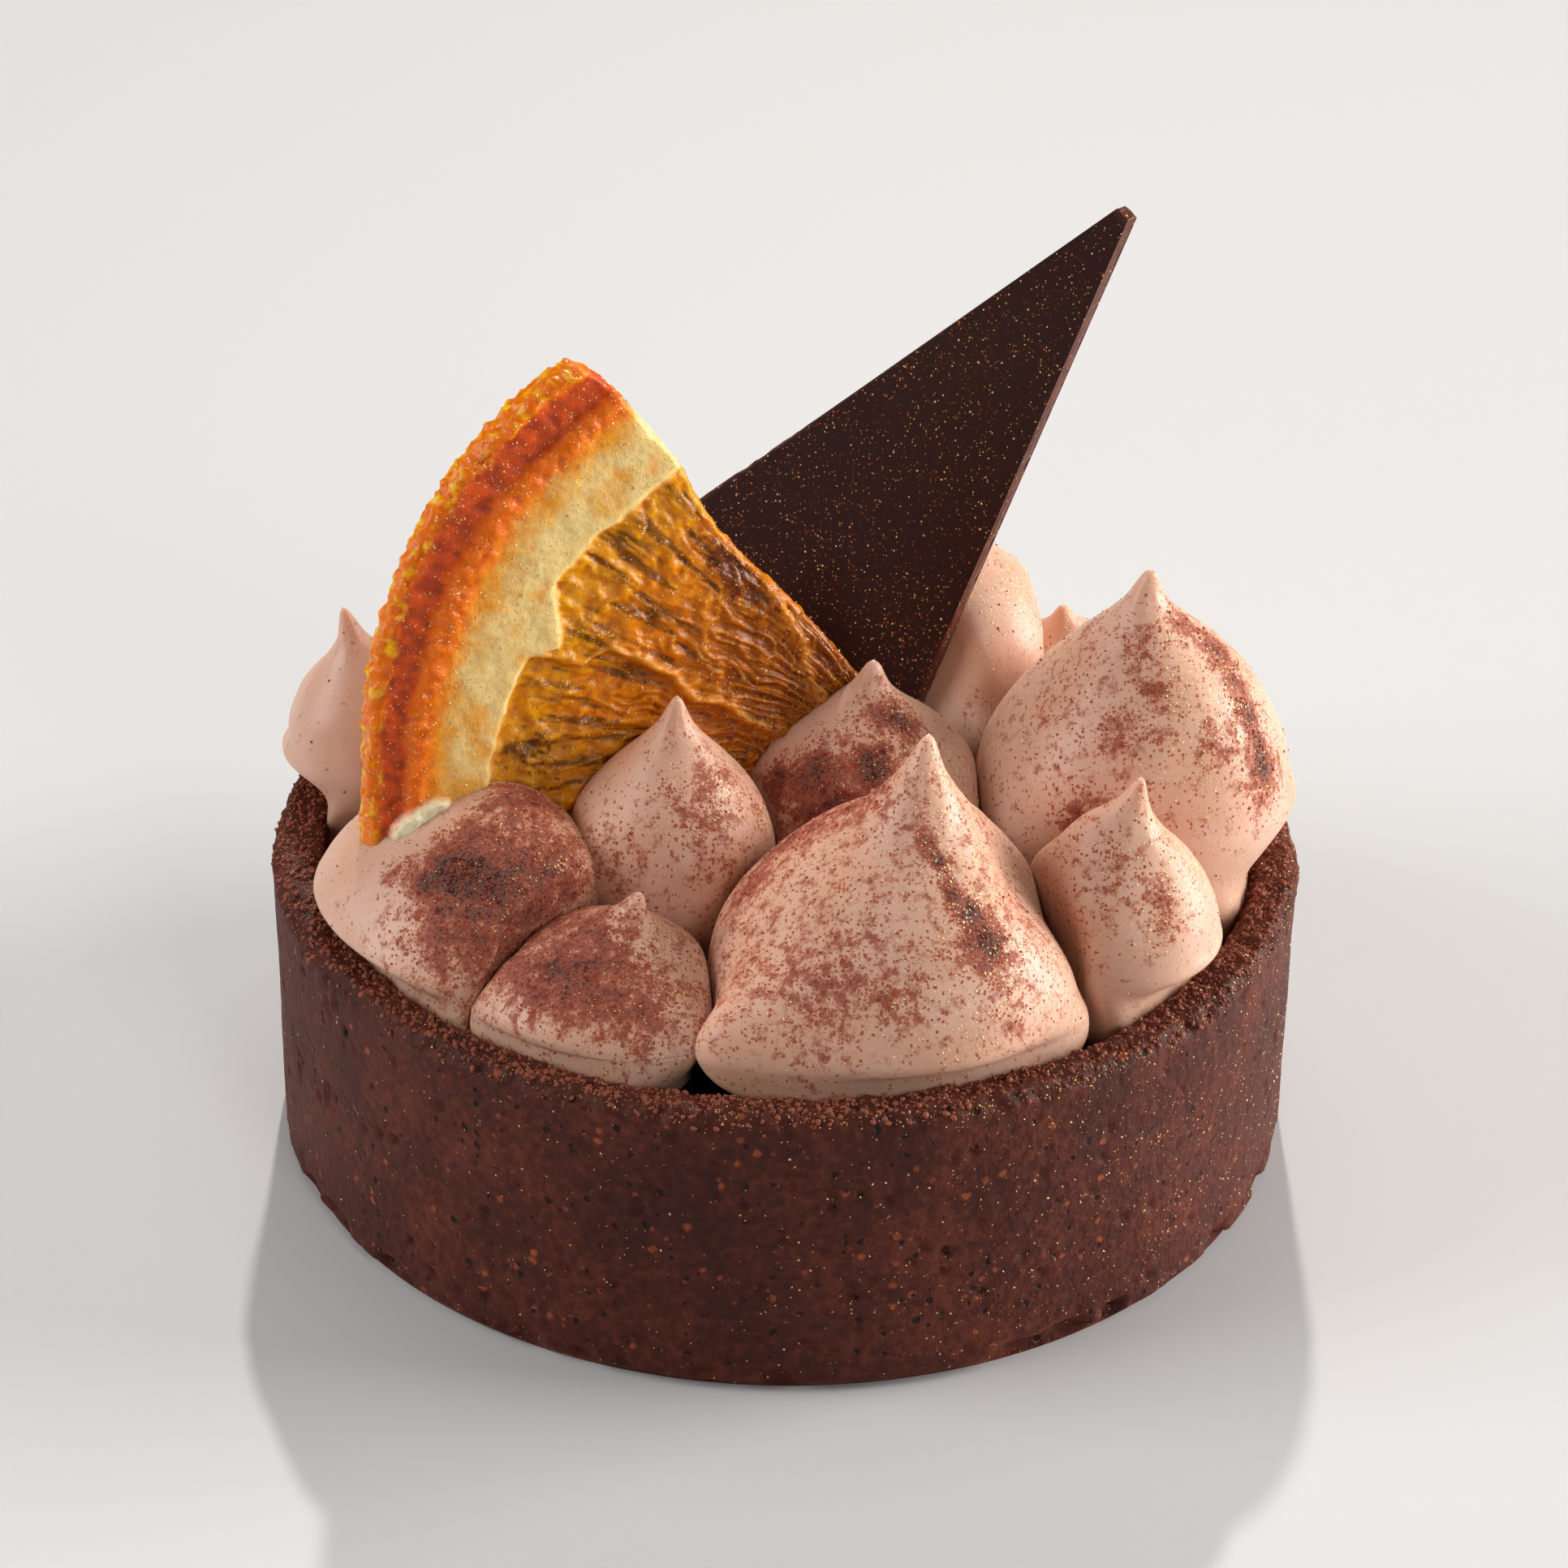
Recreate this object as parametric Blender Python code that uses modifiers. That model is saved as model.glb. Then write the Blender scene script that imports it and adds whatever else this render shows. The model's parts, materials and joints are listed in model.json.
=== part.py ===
"""A chocolate tart: a cocoa shortcrust case, its dark filling, piped drops of milk chocolate cream,
a wedge of dried orange and a triangle of dark chocolate.

Metres, +Z up. The origin is the middle of the underside, on the surface that the tart stands on.
The front is at -Y.
"""
import math
from dataclasses import dataclass

import bmesh
import bpy
from mathutils import Vector

MM = 0.001
GAP = 0.3 * MM                      # left between pieces that touch
MERGE_DISTANCE = 0.01 * MM

# The case, baked in a straight-sided ring.
CASE_DIAMETER = 70 * MM
CASE_HEIGHT = 21 * MM
WALL = 3.4 * MM
FLOOR = 3.5 * MM
RIM_EDGE = 0.7 * MM                 # slope at both edges of the rim
FOOT_EDGE = 0.6 * MM
ROUND_STEPS = 64

CASE_RADIUS = CASE_DIAMETER / 2
WALL_RADIUS = CASE_RADIUS - WALL
FILLING_TOP = 16.8 * MM
CREAM_BASE = FILLING_TOP + GAP

# The dried orange: a sixth of a wheel, standing on its cut edge and turned to the right.
SLICE_RADIUS = 37.2 * MM
SLICE_THICKNESS = 3.4 * MM
SLICE_FROM = 124.5                  # degrees, the upper cut edge
SLICE_SWEEP = 61.5
SLICE_TIP = (1.2 * MM, 0.9 * MM)    # the cuts meet a little off the middle of the wheel
SLICE_EDGE = 0.8 * MM
SLICE_PLACE = (7.6 * MM, 0.8 * MM, 26.9 * MM)
SLICE_YAW = -20
SLICE_LEAN = 10
ARC_STEPS = 24
SLICE_BEDS = (2, 3, 8)              # numbers of the drops that it stands in

# The chocolate triangle: two long edges and a short one, standing on a corner.
TRIANGLE_LONG_EDGE = 45 * MM
TRIANGLE_SHORT_EDGE = 24.6 * MM
TRIANGLE_THICKNESS = 1.2 * MM
TRIANGLE_EDGE = 0.2 * MM
TRIANGLE_PLACE = (-0.7 * MM, 14.6 * MM, 27.5 * MM)   # the middle of the short edge
TRIANGLE_YAW = 33
TRIANGLE_LEAN = 12
TRIANGLE_ROLL = 31                  # degrees that its point is turned to the right
TRIANGLE_BEDS = (8, 12)
TRIANGLE_BACKING = 9                # number of the drop that it leans on
PLATE_BEVEL_SEGMENTS = 2
BEVEL_ANGLE = 40                    # degrees, sharper corners than this are bevelled
FLAT_ANGLE = 1                      # degrees, faces that meet in less are one face

# The cream.
AROUND = 20                         # sides of a drop
NEIGHBOUR_REACH = 3 * MM            # drops farther apart than this don't press each other
CREASE_WIDTH = 1.2 * MM
DOME_RINGS = 9
FOOT_WIDTH = 0.8                    # of the belly's radius
SOFTNESS = 0.5 * MM                 # rounding where a drop is pressed flat
WALL_CLEARANCE = 0.3 * MM
CREAM_CLEAR = CASE_HEIGHT + 0.4 * MM   # from here up the cream may spread over the rim
OVERHANG = 3.0                      # spread for each unit above that
LEAN_POWER = 1.3                    # the lean grows towards the tip

# Finishes: linear red, green and blue, and roughness.
SHORTCRUST = ((0.105, 0.032, 0.019), 0.75)
GANACHE = ((0.022, 0.008, 0.005), 0.45)
CREAM = ((0.64, 0.40, 0.31), 0.5)
DRIED_ORANGE = ((0.72, 0.26, 0.01), 0.4)
DARK_CHOCOLATE = ((0.024, 0.009, 0.007), 0.45)


@dataclass(frozen=True)
class Drop:
    """A piped drop of cream, in millimetres, on an axis that stands on the filling."""

    x: float
    y: float
    radius: float
    height: float                   # of the dome above the filling
    tip: float = 3.5                # drawn up above the dome
    lean: tuple = (0.0, 0.0)        # of the tip from the axis
    belly: float = 0.45             # height of the widest ring, as a share of the dome's
    sharpness: float = 1.1          # 1 is round, more is conical
    tip_width: float = 0.2          # of the radius
    stretch: float = 1.0            # along the direction in turn
    turn: float = 0.0               # degrees
    fold: float = 0.0               # depth of the crease round it, as a share of the radius
    fold_height: float = 0.6        # as a share of the dome's height


DROPS = (
    Drop(-28.2, 7.0, 6.4, 13.2, tip=3.9, lean=(-2.2, -0.3)),
    Drop(-21.3, -13.2, 9.5, 12.8, tip=0.4, lean=(2.8, 2.0), belly=0.4, stretch=1.22, turn=-50),
    Drop(-7.7, -8.3, 7.4, 14.8, tip=4.0, lean=(0.5, 0.3), tip_width=0.24),
    Drop(-11.9, -21.9, 7.4, 9.1, tip=2.4, lean=(2.7, 1.2), belly=0.5, stretch=1.05, turn=-20),
    Drop(7.3, -19.4, 12.4, 15.8, tip=5.9, lean=(1.9, 2.0), belly=0.32, sharpness=1.15),
    Drop(21.5, -15.3, 6.9, 13.0, tip=4.2, lean=(1.3, 0.3), belly=0.42),
    Drop(23.3, 0.0, 10.9, 20.4, tip=4.0, lean=(1.6, 0.0), belly=0.36, sharpness=1.15),
    Drop(4.9, -1.5, 8.6, 14.6, tip=3.4, lean=(0.8, 0.0), belly=0.49),
    Drop(10.6, 14.5, 9.2, 18.2, tip=3.0, lean=(0.6, 0.0), sharpness=1.0, fold=0.07, fold_height=0.58),
    Drop(20.3, 16.5, 7.2, 10.8, tip=2.0, lean=(-1.0, 0.0)),
    Drop(-17.0, 6.2, 8.0, 11.2, lean=(-0.6, 0.4)),
    Drop(-4.5, 10.5, 8.8, 13.2, lean=(0.5, -0.5)),
    Drop(-16.0, 20.0, 10.0, 12.7, lean=(-0.8, 0.6)),
    Drop(2.0, 23.8, 8.8, 11.7, lean=(0.4, 0.8)),
)


def clear_scene():
    """Remove what the scene holds."""
    for item in list(bpy.data.objects):
        bpy.data.objects.remove(item, do_unlink=True)


def new_collection(name):
    """Add a collection to the scene."""
    collection = bpy.data.collections.new(name)
    bpy.context.scene.collection.children.link(collection)
    return collection


def add_object(name, mesh, collection, material=None):
    """Put a mesh in a collection as an object of its own."""
    item = bpy.data.objects.new(name, mesh)
    collection.objects.link(item)
    if material is not None:
        mesh.materials.append(material)
    return item


def food_material(name, colour, roughness):
    """A Principled material of one plain colour, given as linear red, green and blue."""
    material = bpy.data.materials.new(name)
    material.use_nodes = True
    shader = material.node_tree.nodes["Principled BSDF"]
    shader.inputs["Base Color"].default_value = (*colour, 1.0)
    shader.inputs["Roughness"].default_value = roughness
    shader.inputs["Metallic"].default_value = 0.0
    material.diffuse_color = (*colour, 1.0)
    return material


def turned_object(name, profile, collection, material):
    """Turn an open (radius, height) profile, which starts and ends on the axis, about Z."""
    mesh = bpy.data.meshes.new(name)
    points = [(radius, 0.0, height) for radius, height in profile]
    edges = [(index, index + 1) for index in range(len(points) - 1)]
    mesh.from_pydata(points, edges, [])
    item = add_object(name, mesh, collection, material)
    screw = item.modifiers.new("turned", "SCREW")
    screw.steps = ROUND_STEPS
    screw.render_steps = ROUND_STEPS
    screw.use_merge_vertices = True
    screw.merge_threshold = MERGE_DISTANCE
    weld = item.modifiers.new("poles", "WELD")
    weld.merge_threshold = MERGE_DISTANCE
    return item


def build_case(collection, material):
    """The shortcrust case: floor, straight wall and a rim with sloped edges."""
    profile = [
        (0.0, FLOOR),
        (WALL_RADIUS, FLOOR),
        (WALL_RADIUS, CASE_HEIGHT - RIM_EDGE),
        (WALL_RADIUS + RIM_EDGE, CASE_HEIGHT),
        (CASE_RADIUS - RIM_EDGE, CASE_HEIGHT),
        (CASE_RADIUS, CASE_HEIGHT - RIM_EDGE),
        (CASE_RADIUS, FOOT_EDGE),
        (CASE_RADIUS - FOOT_EDGE, 0.0),
        (0.0, 0.0),
    ]
    return turned_object("tart_case", profile, collection, material)


def build_filling(collection, material):
    """The dark filling, from the case's floor up to the level that the cream stands on."""
    radius = WALL_RADIUS - GAP
    profile = [
        (0.0, FILLING_TOP),
        (radius, FILLING_TOP),
        (radius, FLOOR + GAP),
        (0.0, FLOOR + GAP),
    ]
    return turned_object("dark_filling", profile, collection, material)


def drop_profile(drop):
    """The (radius, height) points of a drop, from the middle of its foot to its tip."""
    radius = drop.radius * MM
    base = CREAM_BASE
    belly = base + drop.belly * drop.height * MM
    dome = drop.height * MM - (belly - base)
    points = [(0.0, base)]
    for height in (base, (base + CREAM_CLEAR) / 2, CREAM_CLEAR):
        share = math.sin(math.pi / 2 * (height - base) / (belly - base))
        points.append((radius * (FOOT_WIDTH + (1 - FOOT_WIDTH) * share), height))
    end = math.exp(-1 / drop.tip_width)
    for step in range(DOME_RINGS + 1):
        angle = math.pi / 2 * step / DOME_RINGS
        share = max(math.cos(angle), 0.0) ** drop.sharpness
        rise = dome * math.sin(angle) ** drop.sharpness
        drawn = drop.tip * MM * (math.exp(-share / drop.tip_width) - end)
        crease = base + drop.fold_height * drop.height * MM
        away = (belly + rise - crease) / CREASE_WIDTH
        notch = 1 - drop.fold * math.exp(-away * away)
        points.append((radius * share * notch, belly + rise + drawn))
    points[-1] = (0.0, points[-1][1])
    return points


def lean_and_place(point, drop):
    """Stretch a drop's point, lean it towards the tip's side and set it on the drop's axis."""
    belly = CREAM_BASE + drop.belly * drop.height * MM
    top = CREAM_BASE + (drop.height + drop.tip) * MM
    share = min(max((point.z - belly) / (top - belly), 0.0), 1.0) ** LEAN_POWER
    turn = math.radians(drop.turn)
    along = point.x * drop.stretch
    across = point.y / math.sqrt(drop.stretch)
    x = along * math.cos(turn) - across * math.sin(turn)
    y = along * math.sin(turn) + across * math.cos(turn)
    x += (drop.x + drop.lean[0] * share) * MM
    y += (drop.y + drop.lean[1] * share) * MM
    return Vector((x, y, point.z))


def pushed_back(distance):
    """How far a point at this distance past a plane is pressed back, with a soft start."""
    return 0.5 * (distance + math.hypot(distance, SOFTNESS))


def press_on_neighbours(point, drop):
    """Press a drop's point flat where the drop meets the others."""
    centre = Vector((drop.x, drop.y)) * MM
    place = point.xy
    for other in DROPS:
        way = Vector((other.x, other.y)) * MM - centre
        if other is drop or way.length > (drop.radius + other.radius) * MM + NEIGHBOUR_REACH:
            continue
        apart = way.length
        squares = apart**2 + (drop.radius * MM) ** 2 - (other.radius * MM) ** 2
        contact = squares / (2 * apart) - GAP / 2
        direction = way.normalized()
        place = place - direction * pushed_back((place - centre).dot(direction) - contact)
    return Vector((place.x, place.y, point.z))


def press_behind_triangle(point):
    """Press a drop's point back where the chocolate triangle leans on the drop."""
    yaw = math.radians(TRIANGLE_YAW)
    lean = math.radians(TRIANGLE_LEAN)
    back = Vector((math.sin(yaw), math.cos(yaw), 0.0))
    front = -back * math.cos(lean) + Vector((0.0, 0.0, math.sin(lean)))
    past = (point - Vector(TRIANGLE_PLACE)).dot(front) + TRIANGLE_THICKNESS / 2 + GAP
    return point + back * pushed_back(past)


def keep_inside_wall(point):
    """Hold a drop's point inside the case, and let it spread over the rim above it."""
    limit = WALL_RADIUS - WALL_CLEARANCE + OVERHANG * max(point.z - CREAM_CLEAR, 0.0)
    radius = point.xy.length
    if radius < MERGE_DISTANCE:
        return point
    kept = (radius - pushed_back(radius - limit)) / radius
    return Vector((point.x * kept, point.y * kept, point.z))


def build_drop(name, drop, collection, material):
    """A piped drop: its profile is turned, leaned to one side and pressed by what is round it."""
    shape = bmesh.new()
    corners = [shape.verts.new((radius, 0.0, height)) for radius, height in drop_profile(drop)]
    edges = [shape.edges.new(pair) for pair in zip(corners, corners[1:])]
    bmesh.ops.spin(
        shape,
        geom=corners + edges,
        cent=(0.0, 0.0, 0.0),
        axis=(0.0, 0.0, 1.0),
        angle=2 * math.pi,
        steps=AROUND,
    )
    bmesh.ops.remove_doubles(shape, verts=shape.verts, dist=MERGE_DISTANCE)
    for corner in shape.verts:
        pressed = press_on_neighbours(lean_and_place(corner.co, drop), drop)
        if drop is DROPS[TRIANGLE_BACKING - 1]:
            pressed = press_behind_triangle(pressed)
        corner.co = keep_inside_wall(pressed)
    bmesh.ops.recalc_face_normals(shape, faces=shape.faces)
    mesh = bpy.data.meshes.new(name)
    shape.to_mesh(mesh)
    shape.free()
    mesh.shade_smooth()
    return add_object(name, mesh, collection, material)


def slice_outline():
    """The wedge's outline in its own plane: where the cuts meet, then the arc of the rind."""
    outline = [SLICE_TIP]
    for step in range(ARC_STEPS + 1):
        angle = math.radians(SLICE_FROM + SLICE_SWEEP * step / ARC_STEPS)
        outline.append((SLICE_RADIUS * math.cos(angle), SLICE_RADIUS * math.sin(angle)))
    return outline


def triangle_outline():
    """The chocolate triangle's outline in its own plane, turned about its short edge's middle."""
    half = TRIANGLE_SHORT_EDGE / 2
    height = math.sqrt(TRIANGLE_LONG_EDGE**2 - half**2)
    roll = math.radians(-TRIANGLE_ROLL)
    outline = []
    for x, y in ((-half, 0.0), (half, 0.0), (0.0, height)):
        turned_x = x * math.cos(roll) - y * math.sin(roll)
        turned_y = x * math.sin(roll) + y * math.cos(roll)
        outline.append((turned_x, turned_y))
    return outline


def plate_mesh(name, outline, thickness):
    """A flat plate of one outline and thickness, as a closed mesh."""
    curve = bpy.data.curves.new(name + "_outline", "CURVE")
    curve.dimensions = "2D"
    curve.fill_mode = "BOTH"
    curve.extrude = thickness / 2
    spline = curve.splines.new("POLY")
    spline.points.add(len(outline) - 1)
    for point, (x, y) in zip(spline.points, outline):
        point.co = (x, y, 0.0, 1.0)
    spline.use_cyclic_u = True
    drawn = bpy.data.objects.new(name + "_outline", curve)
    bpy.context.scene.collection.objects.link(drawn)
    seen = drawn.evaluated_get(bpy.context.evaluated_depsgraph_get())
    mesh = bpy.data.meshes.new_from_object(seen)
    bpy.data.objects.remove(drawn, do_unlink=True)
    bpy.data.curves.remove(curve)
    shape = bmesh.new()
    shape.from_mesh(mesh)
    bmesh.ops.remove_doubles(shape, verts=shape.verts, dist=MERGE_DISTANCE)
    bmesh.ops.dissolve_limit(
        shape, angle_limit=math.radians(FLAT_ANGLE), verts=shape.verts, edges=shape.edges
    )
    bmesh.ops.recalc_face_normals(shape, faces=shape.faces)
    shape.to_mesh(mesh)
    shape.free()
    return mesh


def build_plate(name, outline, thickness, edge, place, yaw, lean, collection, material):
    """A plate that stands up, leans back and is turned about Z."""
    item = add_object(name, plate_mesh(name, outline, thickness), collection, material)
    item.location = place
    item.rotation_euler = (math.radians(90 - lean), 0.0, math.radians(-yaw))
    bevel = item.modifiers.new("soft_edges", "BEVEL")
    bevel.width = edge
    bevel.segments = PLATE_BEVEL_SEGMENTS
    bevel.limit_method = "ANGLE"
    bevel.angle_limit = math.radians(BEVEL_ANGLE)
    return item


def clearance_of(drop_object, collection):
    """A cutter that is a drop and the gap round it."""
    cutter = bpy.data.objects.new(drop_object.name + "_clearance", drop_object.data)
    collection.objects.link(cutter)
    swell = cutter.modifiers.new("gap", "DISPLACE")
    swell.strength = GAP
    swell.mid_level = 0.0
    cutter.hide_render = True
    cutter.display_type = "WIRE"
    return cutter


def bed_in_cream(plate, cutters):
    """Take the cream drops out of a plate, so that it ends where it enters the cream."""
    for cutter in cutters:
        cut = plate.modifiers.new("bed_" + cutter.name, "BOOLEAN")
        cut.operation = "DIFFERENCE"
        cut.solver = "EXACT"
        cut.object = cutter


def build_tart():
    """Build every piece of the tart."""
    clear_scene()
    tart = new_collection("chocolate_tart")
    cutters = new_collection("cutters")
    crust = food_material("cocoa_shortcrust", *SHORTCRUST)
    dark = food_material("dark_ganache", *GANACHE)
    cream = food_material("milk_chocolate_cream", *CREAM)
    orange = food_material("dried_orange", *DRIED_ORANGE)
    chocolate = food_material("dark_chocolate", *DARK_CHOCOLATE)
    build_case(tart, crust)
    build_filling(tart, dark)
    clearances = {}
    for number, drop in enumerate(DROPS, start=1):
        item = build_drop(f"cream_drop_{number:02d}", drop, tart, cream)
        if number in SLICE_BEDS + TRIANGLE_BEDS:
            clearances[number] = clearance_of(item, cutters)
    wedge = build_plate(
        "orange_wedge", slice_outline(), SLICE_THICKNESS, SLICE_EDGE, SLICE_PLACE,
        SLICE_YAW, SLICE_LEAN, tart, orange,
    )
    triangle = build_plate(
        "chocolate_triangle", triangle_outline(), TRIANGLE_THICKNESS, TRIANGLE_EDGE,
        TRIANGLE_PLACE, TRIANGLE_YAW, TRIANGLE_LEAN, tart, chocolate,
    )
    bed_in_cream(wedge, [clearances[number] for number in SLICE_BEDS])
    bed_in_cream(triangle, [clearances[number] for number in TRIANGLE_BEDS])


build_tart()
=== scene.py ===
"""The looks of the chocolate tart: a baked cocoa case, piped cream, dried orange and chocolate.

Metres, +Z up, the front at -Y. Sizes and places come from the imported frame.
"""
import json
import logging
import math
from collections.abc import Iterator
from contextlib import contextmanager
from dataclasses import dataclass
from enum import Enum

import bpy
import numpy as np
from mathutils import Matrix, Quaternion, Vector, noise

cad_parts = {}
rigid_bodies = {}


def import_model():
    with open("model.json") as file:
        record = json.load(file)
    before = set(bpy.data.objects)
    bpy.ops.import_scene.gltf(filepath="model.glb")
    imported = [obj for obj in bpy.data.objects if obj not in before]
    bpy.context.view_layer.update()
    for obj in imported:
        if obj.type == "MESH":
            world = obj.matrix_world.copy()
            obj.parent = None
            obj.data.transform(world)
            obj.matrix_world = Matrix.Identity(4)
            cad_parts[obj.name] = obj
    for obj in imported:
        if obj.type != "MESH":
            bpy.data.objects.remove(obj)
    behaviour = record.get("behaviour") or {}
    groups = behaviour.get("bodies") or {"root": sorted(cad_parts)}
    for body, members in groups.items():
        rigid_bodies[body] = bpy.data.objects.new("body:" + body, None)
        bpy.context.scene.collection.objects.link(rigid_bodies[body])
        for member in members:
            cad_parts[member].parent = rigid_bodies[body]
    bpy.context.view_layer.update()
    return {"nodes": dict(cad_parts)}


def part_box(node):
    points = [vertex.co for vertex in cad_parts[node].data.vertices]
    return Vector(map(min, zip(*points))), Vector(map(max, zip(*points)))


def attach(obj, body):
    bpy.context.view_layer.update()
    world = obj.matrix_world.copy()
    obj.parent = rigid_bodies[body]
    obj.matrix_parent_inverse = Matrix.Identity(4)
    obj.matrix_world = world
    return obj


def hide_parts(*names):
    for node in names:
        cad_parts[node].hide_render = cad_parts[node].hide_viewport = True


LOG = logging.getLogger("tart")
MM = 0.001
TAU = 2 * math.pi


# ---------------------------------------------------------------- helpers


def linear(hex_colour: str) -> tuple[float, float, float, float]:
    """Turn an sRGB hex colour to linear red, green, blue and alpha.

    Args:
        hex_colour: The colour as "#rrggbb".

    Returns:
        The linear colour with an alpha of 1.
    """
    parts = [int(hex_colour[start : start + 2], 16) / 255 for start in (1, 3, 5)]
    turned = [part / 12.92 if part <= 0.04045 else ((part + 0.055) / 1.055) ** 2.4 for part in parts]
    return (*turned, 1.0)


def add_node(
    tree: bpy.types.NodeTree,
    kind: str,
    settings: dict | None = None,
    inputs: dict | None = None,
) -> bpy.types.Node:
    """Add a node with its settings and what goes into it.

    Args:
        tree: The node tree.
        kind: The node's type name.
        settings: Its properties; "stops" holds a colour ramp's (place, colour) pairs.
        inputs: By socket name or number, a value or the socket that it is linked from.

    Returns:
        The new node.
    """
    node = tree.nodes.new(kind)
    for name, value in (settings or {}).items():
        if name == "stops":
            while len(node.color_ramp.elements) < len(value):
                node.color_ramp.elements.new(1.0)
            for stop, (place, colour) in zip(node.color_ramp.elements, value):
                stop.position = place
                stop.color = linear(colour)
        else:
            setattr(node, name, value)
    for key, value in (inputs or {}).items():
        if isinstance(value, bpy.types.NodeSocket):
            tree.links.new(value, node.inputs[key])
        else:
            node.inputs[key].default_value = value
    return node


def new_material(name: str) -> tuple[bpy.types.Material, bpy.types.NodeTree, bpy.types.Node]:
    """Make an empty material.

    Args:
        name: The name of the real finish.

    Returns:
        The material, its node tree and its Principled shader.
    """
    material = bpy.data.materials.new(name)
    material.use_nodes = True
    tree = material.node_tree
    return material, tree, tree.nodes["Principled BSDF"]


def select_only(piece: bpy.types.Object) -> None:
    """Deselect everything, then select a piece and make it active."""
    for other in bpy.context.view_layer.objects:
        other.select_set(False)
    piece.select_set(True)
    bpy.context.view_layer.objects.active = piece


@contextmanager
def editing(piece: bpy.types.Object) -> Iterator[None]:
    """Work on all of one piece in edit mode."""
    select_only(piece)
    bpy.ops.object.mode_set(mode="EDIT")
    bpy.ops.mesh.select_all(action="SELECT")
    yield
    bpy.ops.object.mode_set(mode="OBJECT")


def read_points(mesh: bpy.types.Mesh) -> np.ndarray:
    """Return a mesh's points as rows of x, y and z."""
    points = np.empty(len(mesh.vertices) * 3, dtype=np.float32)
    mesh.vertices.foreach_get("co", points)
    return points.reshape(-1, 3).astype(float)


def write_points(mesh: bpy.types.Mesh, points: np.ndarray) -> None:
    """Move a mesh's points to the rows given."""
    mesh.vertices.foreach_set("co", points.astype(np.float32).ravel())
    mesh.update()


def read_normals(mesh: bpy.types.Mesh) -> np.ndarray:
    """Return the normal at each of a mesh's points."""
    normals = np.empty(len(mesh.vertices) * 3, dtype=np.float32)
    mesh.vertex_normals.foreach_get("vector", normals)
    return normals.reshape(-1, 3).astype(float)


def write_attribute(mesh: bpy.types.Mesh, name: str, values: np.ndarray) -> None:
    """Keep one number for each point of a mesh, for its material to read."""
    attribute = mesh.attributes.new(name, "FLOAT", "POINT")
    attribute.data.foreach_set("value", values.astype(np.float32))


def waves(points: np.ndarray, grain: float, seed: float = 0.0, octaves: int = 1) -> np.ndarray:
    """Smooth noise between about -1 and 1.

    Args:
        points: Rows of x, y and z.
        grain: The size of its bumps, in metres.
        seed: Moves the pattern.
        octaves: How many finer layers are added.

    Returns:
        One number for each point.
    """
    moved = points / grain + seed
    if octaves == 1:
        return np.array([noise.noise(row) for row in moved.tolist()])
    return np.array([noise.fractal(row, 0.9, 2.1, octaves) for row in moved.tolist()])


def cells(points: np.ndarray, grain: float, seed: float = 0.0) -> np.ndarray:
    """Distance to the nearest of many scattered dots, in units of their spacing."""
    moved = points / grain + seed
    return np.array([noise.voronoi(row)[0][0] for row in moved.tolist()])


def soft_step(values: np.ndarray, low: float, high: float) -> np.ndarray:
    """Rise smoothly from 0 at low to 1 at high."""
    share = np.clip((values - low) / (high - low), 0.0, 1.0)
    return share * share * (3 - 2 * share)


def bell(values: np.ndarray, middle: float, width: float) -> np.ndarray:
    """A bell curve of height 1 about a middle value."""
    return np.exp(-(((values - middle) / width) ** 2))


def over(colours: np.ndarray, top: str, share: np.ndarray) -> np.ndarray:
    """Lay a hex colour over rows of linear colours, as thickly as the share at each row."""
    return colours + (np.array(linear(top)[:3]) - colours) * share[:, None]


def blend(first: str, second: str, share: np.ndarray) -> np.ndarray:
    """Rows of linear colours between two hex colours."""
    return over(np.tile(linear(first)[:3], (len(share), 1)), second, share)


def finish_piece(piece: bpy.types.Object, material: bpy.types.Material, slot: str, *nodes: str) -> None:
    """Dress a piece and tie it to the frame.

    Args:
        piece: The mesh object.
        material: Its finish.
        slot: The record's material slot; not used.
        *nodes: The CAD nodes that it stands for.
    """
    piece.data.materials.clear()
    piece.data.materials.append(material)
    piece.data.shade_smooth()
    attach(piece, "root")
    if nodes:
        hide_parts(*nodes)
    LOG.info("%s: %d faces", piece.name, len(piece.data.polygons))


def count(full: int) -> int:
    return full


# ---------------------------------------------------------------- finishes


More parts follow.
